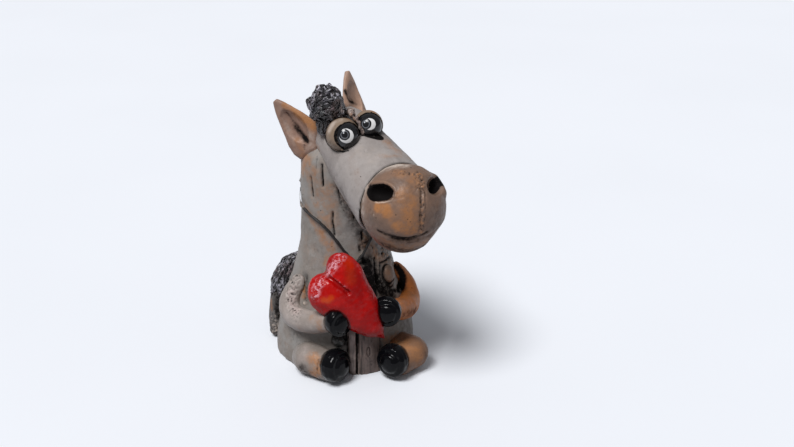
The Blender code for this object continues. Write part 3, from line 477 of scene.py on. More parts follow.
@dataclass(frozen=True)
class ClayFinish:
    """Fired clay with brushed-on washes; oxide settles in its hollows, and shade is painted there as
    well.
    """

    name: str
    base: Colour
    shade: Colour
    gloss: float
    streaked: bool = False
    broad: Pattern = (90.0, 4.0, 0.6)
    shaded: Band = (0.40, 0.66)
    cloud: Pattern = (330.0, 5.0, 0.72)
    smoked: Band = (0.52, 0.70, 0.0, 0.40)
    smoke: float = 0.55
    chalked: Band = (0.30, 0.44, 0.45, 0.0)
    chalk: float = 1.25
    streak: Pattern = (520.0, 3.0, 0.6)
    streak_stretch: tuple[float, float, float] = (1.0, 1.0, 0.09)
    streak_band: Band = (0.50, 0.66, 0.0, 0.75)
    streak_relief: Relief = (0.0004, 0.8)
    speck: Pattern = (2600.0, 2.0, 0.6)
    specked: Band = (0.62, 0.76, 0.0, 0.35)
    speck_relief: Relief = (0.00006, 0.5)
    fine: Pattern = (700.0, 4.0, 0.7)
    fine_relief: Relief = (0.00016, 0.7)
    pits: float = 420.0
    pit_band: Band = (0.02, 0.13, 1.0, 0.0)
    pit_patches: Pattern = (160.0,)
    pitted: Band = (0.52, 0.62)
    pit_stain: float = 0.75
    pit_relief: Relief = (0.00025, 0.8)
    creviced: Band = (0.25, 0.60, 0.55, 1.0)
    glossed: Band = (0.3, 0.7)
    gloss_spread: Pair = (-0.10, 0.12)
    stain_roughness: float = 0.25
    stain_sheen: Band = (0.3, 1.0, 0.35, 0.03)

    def build(self) -> bpy.types.Material:
        """Make the material.

        Returns:
            The finished material.
        """
        g = Graph(self.name)
        broad, fine, speck, cloud = (g.noise(*pattern) for pattern in
                                     (self.broad, self.fine, self.speck, self.cloud))
        smoke = tuple(part * self.smoke for part in self.shade)
        chalk = tuple(min(1.0, part * self.chalk) for part in self.base)
        colour = g.mix(g.ramp(broad, *self.shaded), self.base, self.shade)
        colour = g.mix(g.ramp(cloud, *self.smoked), colour, smoke)
        colour = g.mix(g.ramp(cloud, *self.chalked), colour, chalk)
        for wash, tint in ((Wash.RUST, RUST_ORANGE), (Wash.PINK, RAW_PINK), (Wash.PALE, PALE_EDGE_AND_HIGHLIGHT)):
            colour = g.mix(g.broken(wash, cloud), colour, tint)
        if self.streaked:
            streak = g.noise(*self.streak, self.streak_stretch)
            colour = g.mix(g.ramp(streak, *self.streak_band), colour, OXIDE_AND_SHADE_DARK)
            g.bump(streak, *self.streak_relief)
        colour = g.mix(g.ramp(speck, *self.specked), colour, OXIDE_AND_SHADE_DARK)
        patches = g.ramp(g.noise(*self.pit_patches), *self.pitted)
        pit = g.math("MULTIPLY", g.ramp(g.pits(self.pits), *self.pit_band), patches, True)
        # Crevice and the dark wash turn the colour near black: oxide and dark stains, and also painted
        # shade in hollows, between pieces and where dark strokes lay it.
        crevice = g.math("MULTIPLY", g.wash(Wash.CREVICE), g.ramp(fine, *self.creviced), True)
        stain = g.math("MAXIMUM", g.broken(Wash.DARK, fine, 1.0), crevice)
        stain = g.math("MAXIMUM", stain, g.math("MULTIPLY", pit, self.pit_stain))
        gloss = g.ramp(fine, *self.glossed, *(self.gloss + part for part in self.gloss_spread))
        g.shade({
            "Base Color": g.mix(stain, colour, OXIDE_AND_SHADE_DARK),
            "Roughness": g.math("ADD", gloss, g.math("MULTIPLY", stain, self.stain_roughness)),
            "Specular IOR Level": g.ramp(stain, *self.stain_sheen),
        })
        g.bump(fine, *self.fine_relief)
        g.bump(speck, *self.speck_relief)
        g.bump(g.math("SUBTRACT", 1.0, pit), *self.pit_relief)
        return g.material


@dataclass(frozen=True)
class OxideFinish:
    """Pressed clay strands under black oxide, with a silvery glint on their ridges that is partly worn
    oxide and partly painted highlight.
    """

    name: str
    dark: Colour = (0.012, 0.010, 0.012)
    # Silver is the colour of the strands' painted highlights and worn ridges.
    silver: Colour = (0.80, 0.77, 0.88)
    brown: Colour = (0.22, 0.15, 0.16)
    fine: Pattern = (900.0, 4.0, 0.7)
    broad: Pattern = (230.0, 2.0)
    worn: Band = (0.46, 0.60)
    browned: Band = (0.40, 0.56)
    rusted: Band = (0.3, 0.6, 0.5, 1.0)
    roughness: Band = (0.3, 0.7, 0.20, 0.50)
    coat: float = 0.5
    coat_roughness: float = 0.18
    relief: Relief = (0.00022, 0.8)

    def build(self) -> bpy.types.Material:
        """Make the material.

        Returns:
            The finished material.
        """
        g = Graph(self.name)
        fine = g.noise(*self.fine)
        # The pale wash is the painted highlight and wear on the strands; crevice is oxide and painted
        # shade.
        ridge = g.math("MULTIPLY", g.wash(Wash.PALE), g.ramp(fine, *self.worn), True)
        rusty = g.math("MULTIPLY", g.wash(Wash.RUST), g.ramp(fine, *self.rusted), True)
        worn = g.mix(g.ramp(g.noise(*self.broad), *self.browned), self.silver, self.brown)
        colour = g.mix(rusty, g.mix(ridge, self.dark, worn), RAW_PINK)
        g.shade({
            "Base Color": g.mix(g.wash(Wash.CREVICE), colour, OXIDE_AND_SHADE_DARK),
            "Roughness": g.ramp(fine, *self.roughness),
            "Coat Weight": self.coat,
            "Coat Roughness": self.coat_roughness,
        })
        g.bump(fine, *self.relief)
        return g.material


@dataclass(frozen=True)
class GlazeFinish:
    """A glossy glaze that breaks paler where the glaze thins over an edge and under painted highlights,
    and goes deep red under painted shade.
    """

    name: str
    body: Colour
    thin_glaze_and_highlight: Colour
    deep: Colour
    coat: float
    roughness: float
    gleam: float
    ripple: float
    warm: Colour = (0.62, 0.10, 0.012)
    broad: Pattern = (120.0, 3.0)
    deepened: Band = (0.36, 0.62)
    fine: Pattern = (900.0, 3.0, 0.6)
    warmed: Band = (0.25, 0.6, 0.6, 1.0)
    crackle: Pattern = (850.0, 4.0, 0.8)
    thinned: Band = (0.47, 0.58)
    creviced: float = 0.8
    roughened: Band = (0.3, 0.7)
    roughness_spread: Pair = (0.7, 1.5)
    coat_roughness: float = 0.08
    ripples: Pattern = (260.0, 2.0)
    ripple_share: float = 0.6
    crackle_relief: Relief = (0.0005, 0.9)

    def build(self) -> bpy.types.Material:
        """Make the material.

        Returns:
            The finished material.
        """
        g = Graph(self.name)
        broad, fine, crackle = (g.noise(*pattern) for pattern in
                                (self.broad, self.fine, self.crackle))
        colour = g.mix(g.ramp(broad, *self.deepened), self.body, self.deep)
        rusty = g.math("MULTIPLY", g.wash(Wash.RUST), g.ramp(fine, *self.warmed), True)
        colour = g.mix(rusty, colour, self.warm)
        # The pale wash: glaze gone thin on ridges, and painted highlights (sparkles, glints and sheen);
        # the dark wash lays painted shade and the groove in the deep colour.
        thin_glaze_and_highlight = g.math("MULTIPLY", g.wash(Wash.PALE), g.ramp(crackle, *self.thinned), True)
        colour = g.mix(g.wash(Wash.DARK), g.mix(thin_glaze_and_highlight, colour, self.thin_glaze_and_highlight), self.deep)
        crevice = g.math("MULTIPLY", g.wash(Wash.CREVICE), self.creviced)
        spread = (self.roughness * part for part in self.roughness_spread)
        g.shade({
            "Base Color": g.mix(crevice, colour, OXIDE_AND_SHADE_DARK),
            "Roughness": g.ramp(broad, *self.roughened, *spread),
            "Specular IOR Level": self.gleam,
            "Coat Weight": self.coat,
            "Coat Roughness": self.coat_roughness,
        })
        g.bump(g.noise(*self.ripples), self.ripple, self.ripple_share)
        g.bump(g.math("MULTIPLY", g.wash(Wash.PALE), crackle), *self.crackle_relief)
        return g.material


@dataclass(frozen=True)
class EyePaint:
    """Hand-painted rings: black ball, white disc, black iris with a grey ring; the glint on the iris is a
    painted highlight.
    """

    name: str
    rings: tuple[tuple[Vector, float, Colour], ...]
    ball: Colour
    unsteady: Pattern = (900.0, 2.0)
    wobble: float = 0.00030
    edge: float = 0.00006
    ripples: Pattern = (400.0, 2.0)
    relief: Relief = (0.00010, 0.5)
    roughness: float = 0.16
    gleam: float = 0.30
    coat: float = 0.25
    coat_roughness: float = 0.06

    def build(self) -> bpy.types.Material:
        """Make the material, each disc painted over the one before.

        Returns:
            The finished material.
        """
        g = Graph(self.name)
        wobble = g.math("MULTIPLY", g.math("SUBTRACT", g.noise(*self.unsteady), 0.5), self.wobble)
        colour: object = self.ball
        for centre, radius, tint in self.rings:
            gap = g.node("ShaderNodeVectorMath", operation="DISTANCE")
            g.link(g.place, gap.inputs[0])
            g.link(centre, gap.inputs[1])
            reach = g.math("ADD", gap.outputs["Value"], wobble)
            disc = g.ramp(reach, radius - self.edge, radius + self.edge, 1.0, 0.0)
            colour = g.mix(disc, colour, tint)
        g.shade({
            "Base Color": colour,
            "Roughness": self.roughness,
            "Specular IOR Level": self.gleam,
            "Coat Weight": self.coat,
            "Coat Roughness": self.coat_roughness,
        })
        g.bump(g.noise(*self.ripples), *self.relief)
        return g.material


class Mesher:
    """Small tools on meshes that every piece shares."""

    DOUBLES: ClassVar[float] = 1e-6
    ROUND_SLACKS: ClassVar[tuple[float, ...]] = (0.0012, 0.0006, 0.0003, 0.0002)
    SWELL_SHIFT: ClassVar[tuple[float, float, float]] = (1.0, 1.7, 0.6)
    SWELL_ROUGHNESS: ClassVar[float] = 0.9
    SWELL_FINER: ClassVar[float] = 2.1
    SOFT_SHARE: ClassVar[float] = 0.85
    TINY: ClassVar[float] = 1e-9
    trees: ClassVar[dict[str, BVHTree]] = {}

    @classmethod
    def merged(cls, node: str) -> bmesh.types.BMesh:
        """A closed copy of a CAD node's mesh.

        Args:
            node: The node's name.

        Returns:
            A new bmesh with its doubles merged.
        """
        mesh = bmesh.new()
        mesh.from_mesh(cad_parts[node].data)
        bmesh.ops.remove_doubles(mesh, verts=mesh.verts[:], dist=cls.DOUBLES)
        return mesh

    @classmethod
    def tree(cls, node: str) -> BVHTree:
        """The faces of a CAD node, kept for later questions."""
        if node not in cls.trees:
            mesh = cls.merged(node)
            cls.trees[node] = BVHTree.FromBMesh(mesh)
            mesh.free()
        return cls.trees[node]

    @classmethod
    def round(cls, node: str) -> tuple[np.ndarray, float]:
        """The sphere that most of a CAD node lies on.

        Args:
            node: The node's name.

        Returns:
            Its centre and radius.
        """
        mesh = cls.merged(node)
        rows = np.array([vert.co for vert in mesh.verts])
        mesh.free()
        centre, radius = (rows.min(0) + rows.max(0)) / 2, np.ptp(rows, axis=0).mean() / 2
        for slack in cls.ROUND_SLACKS:
            kept = rows[np.abs(np.linalg.norm(rows - centre, axis=1) - radius) < slack]
            sums = np.column_stack([2 * kept, np.ones(len(kept))])
            found = np.linalg.lstsq(sums, (kept ** 2).sum(1), rcond=None)[0]
            centre = found[:3]
            radius = math.sqrt(found[3] + centre @ centre)
        return centre, radius

    @staticmethod
    def points(mesh: bpy.types.Mesh) -> np.ndarray:
        """A mesh's vertex places as rows."""
        rows = np.empty(len(mesh.vertices) * 3)
        mesh.vertices.foreach_get("co", rows)
        return rows.reshape(-1, 3)

    @staticmethod
    def normals(mesh: bpy.types.Mesh) -> np.ndarray:
        """A mesh's vertex normals as rows."""
        rows = np.empty(len(mesh.vertices) * 3)
        mesh.vertices.foreach_get("normal", rows)
        return rows.reshape(-1, 3)

    @staticmethod
    def place(mesh: bpy.types.Mesh, rows: np.ndarray) -> None:
        """Write vertex places back."""
        mesh.vertices.foreach_set("co", rows.ravel())
        mesh.update()

    @classmethod
    def swell(cls, rows: np.ndarray, size: float, seed: float, octaves: int) -> np.ndarray:
        """Hand-made unevenness, one number from about -1 to 1 at each point.

        Args:
            rows: The points.
            size: The size of a lump in metres.
            seed: Moves the pattern.
            octaves: How many finer layers are added.

        Returns:
            An array of one number a point.
        """
        shift = Vector(tuple(seed * part for part in cls.SWELL_SHIFT))
        return np.array([noise.fractal(Vector(row) / size + shift, cls.SWELL_ROUGHNESS,
                                       cls.SWELL_FINER, octaves) for row in rows])

    @classmethod
    def reach(cls, rows: np.ndarray, line: Sequence[Vector]) -> np.ndarray:
        """Each point's distance from a bent line.

        Args:
            rows: The points.
            line: The line's corners.

        Returns:
            An array of distances in metres.
        """
        corners = [np.array(point) for point in line]
        best = np.linalg.norm(rows - corners[0], axis=1)
        for start, end in zip(corners, corners[1:]):
            along = end - start
            length = max(float(along @ along), cls.TINY ** 2)
            share = np.clip((rows - start) @ along / length, 0, 1)
            gap = np.linalg.norm(rows - start - share[:, None] * along, axis=1)
            best = np.minimum(best, gap)
        return best

    @classmethod
    def falloff(cls, gap: np.ndarray, radius: float, soft: float = 1.0) -> np.ndarray:
        """A share that is full at the line and nothing at the radius.

        Args:
            gap: Each point's distance from the line.
            radius: Where the share ends.
            soft: 0 for a crisp edge, 1 for the softest.

        Returns:
            One share a point, on a smooth step.
        """
        edge = radius * (1 - soft * cls.SOFT_SHARE)
        share = np.clip((radius - gap) / max(radius - edge, cls.TINY), 0, 1)
        return share * share * (3 - 2 * share)

    @classmethod
    def relief(cls, mesh: bpy.types.Mesh, rounds: int) -> np.ndarray:
        """How far each vertex stands out of its surroundings, in metres.

        Args:
            mesh: The mesh.
            rounds: How many rings of neighbours are averaged.

        Returns:
            One number a vertex, below zero in hollows.
        """
        count = len(mesh.vertices)
        ends = np.empty(len(mesh.edges) * 2, dtype=np.int64)
        mesh.edges.foreach_get("vertices", ends)
        first, second = ends.reshape(-1, 2).T
        share = np.bincount(first, minlength=count) + np.bincount(second, minlength=count)
        rows = cls.points(mesh)
        level = rows.copy()
        for _ in range(rounds):
            level = np.stack([np.bincount(first, level[second, axis], count)
                              + np.bincount(second, level[first, axis], count)
                              for axis in range(3)], 1) / np.maximum(share, 1)[:, None]
        return ((rows - level) * cls.normals(mesh)).sum(1)

    @staticmethod
    def attribute(mesh: bpy.types.Mesh, wash: Wash, values: np.ndarray) -> None:
        """Keep one number a vertex for a material to read, the strongest wins.

        Args:
            mesh: The mesh.
            wash: Which wash it is.
            values: One number a vertex.
        """
        layer = mesh.attributes.get(wash.value)
        if layer is None:
            layer = mesh.attributes.new(wash.value, "FLOAT", "POINT")
        before = np.empty(len(mesh.vertices))
        layer.data.foreach_get("value", before)
        layer.data.foreach_set("value", np.maximum(before, values))


@dataclass(frozen=True)
class Handwork:
    """How every lump was pressed, smeared, crumbled and worn; lengths in metres.

    A pair is the steepness of a pattern and its level.
    """

    smoothing: float = 0.5
    seeds: int = 17
    grit_size: float = 0.0011
    grit_seed: float = 3.0
    seam_gap: float = 0.00035
    smear_reach: float = 0.00085
    smear_overlap: float = 0.00012
    crumb_size: float = 0.0009
    crumb_seed: float = 10.0
    crumb_pits: Pair = (2.4, 0.3)
    crumb_tops: float = 2.0
    crevice_from: float = 0.00030
    crevice_search: float = 1.5
    worn_rings: int = 10
    hollow: float = 0.00012
    ridge: float = 0.00014
    ridge_share: float = 0.6
    wash_seed: float = 5.0
    wash_cover: Pair = (1.4, 0.35)
    eye_growth: float = 0.00014
    seat_growth: float = 0.00005
    ball_snap: float = 0.00034


HAND = Handwork()


@dataclass
class ClayPiece:
    """One lump of clay: the CAD node's own form, refined, marked and stained.

    Sizes are in metres. Voxel and passes say how finely it is remeshed and smoothed, and
    lump, lump_size and grit how uneven it is. Crevice is how far from a neighbour oxide
    settles and shade is painted, settled how strongly, and relief how strongly in its
    hollows. A wash all over it has the size of a patch and a strength.
    """

    node: str
    finish: bpy.types.Material
    material_slot: str
    voxel: float = 0.00035
    passes: int = 14
    lump: float = 0.00016
    lump_size: float = 0.0055
    grit: float = 0.00003
    neighbours: tuple[str, ...] = ()
    smeared: tuple[str, ...] = ()
    crevice: float = 0.0009
    relief: float = 0.6
    settled: float = 1.0
    strokes: tuple[Stroke, ...] = ()
    presses: tuple[Press, ...] = ()
    washes: dict[Wash, Pair] = field(default_factory=dict)

    def build(self) -> None:
        """Refine, shape, stain and dress the piece."""
        obj = self.softened(Mesher.merged(self.node))
        self.shape(obj.data)
        self.smear(obj.data)
        self.add_detail(obj.data)
        self.mark(obj.data)
        self.settle_stain(obj.data)
        self.dress(obj)

    def softened(self, mesh: bmesh.types.BMesh) -> bpy.types.Object:
        """Remesh a closed form finely and smooth it, at its own size.

        Args:
            mesh: The form; it is freed.

        Returns:
            The new object, at the origin.
        """
        name = self.node + "_clay"
        data = bpy.data.meshes.new(name)
        mesh.to_mesh(data)
        mesh.free()
        obj = add_object(name, data)
        before = Mesher.points(data)
        remesh = obj.modifiers.new("fine", "REMESH")
        remesh.mode = "VOXEL"
        remesh.voxel_size = self.voxel
        smooth = obj.modifiers.new("soft", "SMOOTH")
        smooth.factor = HAND.smoothing
        smooth.iterations = self.passes
        bpy.context.view_layer.update()
        graph = bpy.context.evaluated_depsgraph_get()
        fine = bpy.data.meshes.new_from_object(obj.evaluated_get(graph))
        obj.modifiers.clear()
        obj.data = fine
        bpy.data.meshes.remove(data)
        fine.name = name
        rows = Mesher.points(fine)
        scale = np.ptp(before, axis=0) / np.maximum(np.ptp(rows, axis=0), Mesher.TINY)
        middle, target = (rows.min(0) + rows.max(0)) / 2, (before.min(0) + before.max(0)) / 2
        Mesher.place(fine, (rows - middle) * scale + target)
        return obj

    def shape(self, mesh: bpy.types.Mesh) -> None:
        """Push the form where a hand did, then make it uneven all over.

        Args:
            mesh: The mesh to change.
        """
        rows, normals = Mesher.points(mesh), Mesher.normals(mesh)
        right, up, _ = (np.array(axis) for axis in SIGHT.axes())
        for press in self.presses:
            log.debug("%s: %s", self.node, press.label)
            seen = SIGHT.seen(rows)
            across, down = np.array(press.direction) / np.hypot(*press.direction)
            beyond = (seen[:, 0] - press.spot[0]) * across + (seen[:, 1] - press.spot[1]) * down
            back = np.maximum(beyond, 0.0) * (1 - press.kept) * seen[:, 2] / SIGHT.reach
            rows -= back[:, None] * (right * across - up * down)
        seed = sum(map(ord, self.node)) % HAND.seeds
        shift = Mesher.swell(rows, self.lump_size, seed, octaves=2) * self.lump
        if self.grit:
            grit = Mesher.swell(rows, HAND.grit_size, seed + HAND.grit_seed, octaves=2)
            shift += grit * self.grit
        Mesher.place(mesh, rows + normals * shift[:, None])

    def smear(self, mesh: bpy.types.Mesh) -> None:
        """Draw the edge out over the pieces that it was smoothed onto, so that no seam shows.

        Args:
            mesh: The mesh to change.
        """
        rows = Mesher.points(mesh)
        for other in self.smeared:
            tree = Mesher.tree(other)
            for index, row in enumerate(rows):
                point, _, _, gap = tree.find_nearest(Vector(row), HAND.smear_reach)
                if point is None or gap < Mesher.DOUBLES:
                    continue
                near = (HAND.smear_reach - gap) / (HAND.smear_reach - HAND.seam_gap)
                share = min(1.0, near) ** 2 * (1 + HAND.smear_overlap / gap)
                rows[index] += (np.array(point) - row) * share
        Mesher.place(mesh, rows)

    def mark(self, mesh: bpy.types.Mesh) -> None:
        """Draw the piece's strokes: cuts go in, and washes are kept as attributes.

        Args:
            mesh: The mesh to change.
        """
        rows, normals = Mesher.points(mesh), Mesher.normals(mesh)
        tree = Mesher.tree(self.node)
        seen = SIGHT.seen(rows)
        flat = np.column_stack([seen[:, :2], np.zeros(len(rows))])
        shift = np.zeros(len(rows))
        for stroke in self.strokes:
            log.debug("%s: %s", self.node, stroke.label)
            line = [SIGHT.land(tree, spot) for spot in stroke.spots]
            radius = stroke.radius * MM
            if stroke.through:
                gap = Mesher.reach(flat, [Vector((*spot, 0.0)) for spot in stroke.spots])
                gap *= SIGHT.grain(line[0])
                far = np.mean([SIGHT.grain(point) * SIGHT.reach for point in line])
                gap[np.abs(seen[:, 2] - far) > stroke.through * MM] = np.inf
            else:
                gap = Mesher.reach(rows, line)
            if stroke.depth:
                shift -= Mesher.falloff(gap, radius) * stroke.depth * MM
            share = Mesher.falloff(gap, radius, stroke.soft) * stroke.strength
            if stroke.crumble:
                seed = stroke.radius * HAND.crumb_seed
                crumbs = Mesher.swell(rows, HAND.crumb_size, seed, octaves=3)
                shift += share * crumbs * stroke.crumble * MM
                steep, level = HAND.crumb_pits
                Mesher.attribute(mesh, Wash.DARK, share * np.clip(-crumbs * steep - level, 0, 1))
                share = share * np.clip(crumbs * HAND.crumb_tops, 0, 1)
            Mesher.attribute(mesh, stroke.wash, share)
        Mesher.place(mesh, rows + normals * shift[:, None])

    def settle_stain(self, mesh: bpy.types.Mesh) -> None:
        """Let oxide settle in hollows and beside neighbours, with painted shade there too, and wear off
        ridges.

        Args:
            mesh: The mesh to stain.
        """
        rows = Mesher.points(mesh)
        best = np.full(len(rows), np.inf)
        for other in self.neighbours:
            tree = Mesher.tree(other)
            search = self.crevice * HAND.crevice_search
            near = [tree.find_nearest(Vector(row), search)[3] for row in rows]
            best = np.minimum(best, [np.inf if gap is None else gap for gap in near])
        # Oxide darkens beside neighbours and in hollows; the same darkening is painted shade where shade
        # falls there.
        past = np.maximum(best - HAND.crevice_from, 0)
        beside = Mesher.falloff(past, self.crevice) * self.settled
        relief = Mesher.relief(mesh, HAND.worn_rings)
        hollows = np.clip(-relief / HAND.hollow, 0, 1) * self.relief
        ridges = np.clip(relief / HAND.ridge, 0, 1) * self.relief * HAND.ridge_share
        Mesher.attribute(mesh, Wash.CREVICE, np.maximum(beside, hollows))
        Mesher.attribute(mesh, Wash.PALE, ridges)
        steep, level = HAND.wash_cover
        for wash, (patch, amount) in self.washes.items():
            spread = Mesher.swell(rows, patch, HAND.wash_seed + len(wash.value), octaves=2)
            Mesher.attribute(mesh, wash, np.clip(spread * steep + level, 0, 1) * amount)

    def add_detail(self, mesh: bpy.types.Mesh) -> None:
        """Room for what a kind of piece adds on its surface."""

    def dress(self, obj: bpy.types.Object) -> None:
        """Give the piece its finish and its place in the frame.

        Args:
            obj: The piece.
        """
        obj.data.materials.clear()
        obj.data.materials.append(self.finish)
        obj.data.shade_smooth()
        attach(obj, "root")
        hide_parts(self.node)
        log.info("%s: %d faces", obj.name, len(obj.data.polygons))


@dataclass
class BallPiece(ClayPiece):
    """A ball of clay, true to its round form, with a seat for a smaller ball or for none."""

    seated: str = ""
    proud: float = 0.0

    def add_detail(self, mesh: bpy.types.Mesh) -> None:
        """Bring every point of the ball, and of its seat, onto one round.

        Args:
            mesh: The mesh to change.
        """
        rows = Mesher.points(mesh)
        rounds = [(*Mesher.round(self.node), self.proud)]
        if self.seated:
            rounds.append((*Mesher.round(self.seated), HAND.eye_growth + HAND.seat_growth))
        for centre, radius, extra in rounds:
            out = rows - centre
            far = np.linalg.norm(out, axis=1)
            near = np.abs(far - radius) < HAND.ball_snap
            rows[near] = centre + out[near] * ((radius + extra) / far[near])[:, None]
        Mesher.place(mesh, rows)


@dataclass
class StrandPiece(ClayPiece):
    """A bunch of pressed clay strands on a core.

    Lengths and glints are a least share and what a strand's number may add to it, by the
    steps and the length of a cycle. The arch lifts a strand's middle and dips its ends.
    The glints are painted highlights on each strand's outer side, with worn oxide, stronger
    on strands that face up.
    """

    GOLDEN_DEGREES: ClassVar[float] = 137.5
    LOOSENESS: ClassVar[float] = 0.8
    LENGTHS: ClassVar[Pair] = (0.75, 0.05)
    LENGTH_CYCLE: ClassVar[tuple[int, int]] = (7, 11)
    GLINTS: ClassVar[Pair] = (0.15, 0.85)
    GLINT_CYCLE: ClassVar[tuple[int, int]] = (3, 7)
    TOP_GLINTS: ClassVar[Pair] = (0.65, 0.35)
    ARCH: ClassVar[Pair] = (2.2, 0.6)
    END_SHARE: ClassVar[float] = 0.5
    SPACING: ClassVar[float] = 1.7
    SIDES: ClassVar[int] = 6
    SEED: ClassVar[int] = 31

    count: int = 150
    length: float = 0.0046
    radius: float = 0.00036
    curl: float = 1.1
    lean: tuple[float, float, float] = (0.0, 0.0, 0.0)
    lift: float = 0.00025
    sunk: float = 0.0
    lowest: float = -1.0
    hug: float = 0.85
    steps: int = 6

    def add_detail(self, mesh: bpy.types.Mesh) -> None:
        """Add curled strands, pressed on one over another.

        Args:
            mesh: The core's mesh.
        """
        rows, normals = Mesher.points(mesh), Mesher.normals(mesh)
        order = np.random.default_rng(len(self.node) * self.SEED).permutation(len(rows))
        taken: list[Vector] = []
        spacing = self.radius * self.SPACING
        strands = bmesh.new()
        layer = strands.verts.layers.float.new(Wash.PALE.value)
        whole = bmesh.new()
        whole.from_mesh(mesh)
        core = BVHTree.FromBMesh(whole)
        whole.free()
        for index in order:
            spot = Vector(rows[index])
            if normals[index][2] < self.lowest:
                continue
            if all((spot - other).length > spacing for other in taken):
                self.add_strand(strands, layer, core, spot, Vector(normals[index]), len(taken))
                taken.append(spot)
            if len(taken) >= self.count:
                break
        bmesh.ops.recalc_face_normals(strands, faces=strands.faces[:])
        loose = bpy.data.meshes.new("strands")
        strands.to_mesh(loose)
        strands.free()
        both = bmesh.new()
        both.from_mesh(mesh)
        both.from_mesh(loose)
        both.to_mesh(mesh)
        both.free()
        bpy.data.meshes.remove(loose)

    def add_strand(self, strands: bmesh.types.BMesh, layer: bmesh.types.BMLayerItem,
                   core: BVHTree, spot: Vector, out: Vector, turn: int) -> None:
        """One strand: a small ring carried along a curl that keeps to the core.

        Args:
            strands: The mesh that it joins.
            layer: Where its painted glint is kept, highlight and worn ridge.
            core: The core's faces.
            spot: Where it is pressed on.
            out: The surface's direction there.
            turn: Its number, which sets its curl.
        """
        shortest, longer = self.LENGTHS
        dull, bright = self.GLINTS
        low, high = self.TOP_GLINTS
        arch, dip = self.ARCH
        swing = math.radians(self.GOLDEN_DEGREES * turn)
        side = out.orthogonal().normalized()
        lean = Vector(self.lean)
        along = side * math.cos(swing) + out.cross(side) * math.sin(swing)
        along = (along * self.LOOSENESS + lean - out * lean.dot(out)).normalized()
        across = out.cross(along)
        step, cycle = self.LENGTH_CYCLE
        size = self.length * (shortest + longer * ((turn * step) % cycle))
        bend = self.curl * (1 if turn % 2 else -1)
        step, cycle = self.GLINT_CYCLE
        shine = dull + bright * ((turn * step) % cycle) / (cycle - 1)
        # Strands that face up get more of the painted highlight.
        shine *= low + high * max(0.0, out.z)
        place = spot - along * size * 0.5
        rim: list[bmesh.types.BMEdge] = []
        before = Matrix()
        for step in range(self.steps + 1):
            share = step / self.steps
            turned = bend * (share - 0.5)
            heading = along * math.cos(turned) + across * math.sin(turned)
            point, normal, _, _ = core.find_nearest(place)
            place = place.lerp(point, self.hug)
            rise = normal * (self.lift * (arch * math.sin(math.pi * share) - dip) - self.sunk)
            thick = self.radius * (self.END_SHARE if step in (0, self.steps) else 1.0)
            facing = heading.to_track_quat("Z", "Y").to_matrix().to_4x4()
            ring = Matrix.Translation(place + rise) @ facing @ Matrix.Scale(thick, 4)
            if step == 0:
                verts = bmesh.ops.create_circle(strands, segments=self.SIDES, radius=1.0,
                                                matrix=ring, cap_ends=True)["verts"]
                rim = list(dict.fromkeys(edge for vert in verts for edge in vert.link_edges))
            else:
                grown = bmesh.ops.extrude_edge_only(strands, edges=rim)["geom"]
                verts = [part for part in grown if isinstance(part, bmesh.types.BMVert)]
                own = set(verts)
                rim = [part for part in grown if isinstance(part, bmesh.types.BMEdge)
                       and own.issuperset(part.verts)]
                bmesh.ops.transform(strands, matrix=ring @ before.inverted(), verts=verts)
            before = ring
            # A ring's outer side takes the painted glint.
            for vert in verts:
                vert[layer] = max(0.0, (vert.co - place - rise).normalized().dot(normal)) * shine
            place = place + heading * size / self.steps
        bmesh.ops.edgeloop_fill(strands, edges=rim)


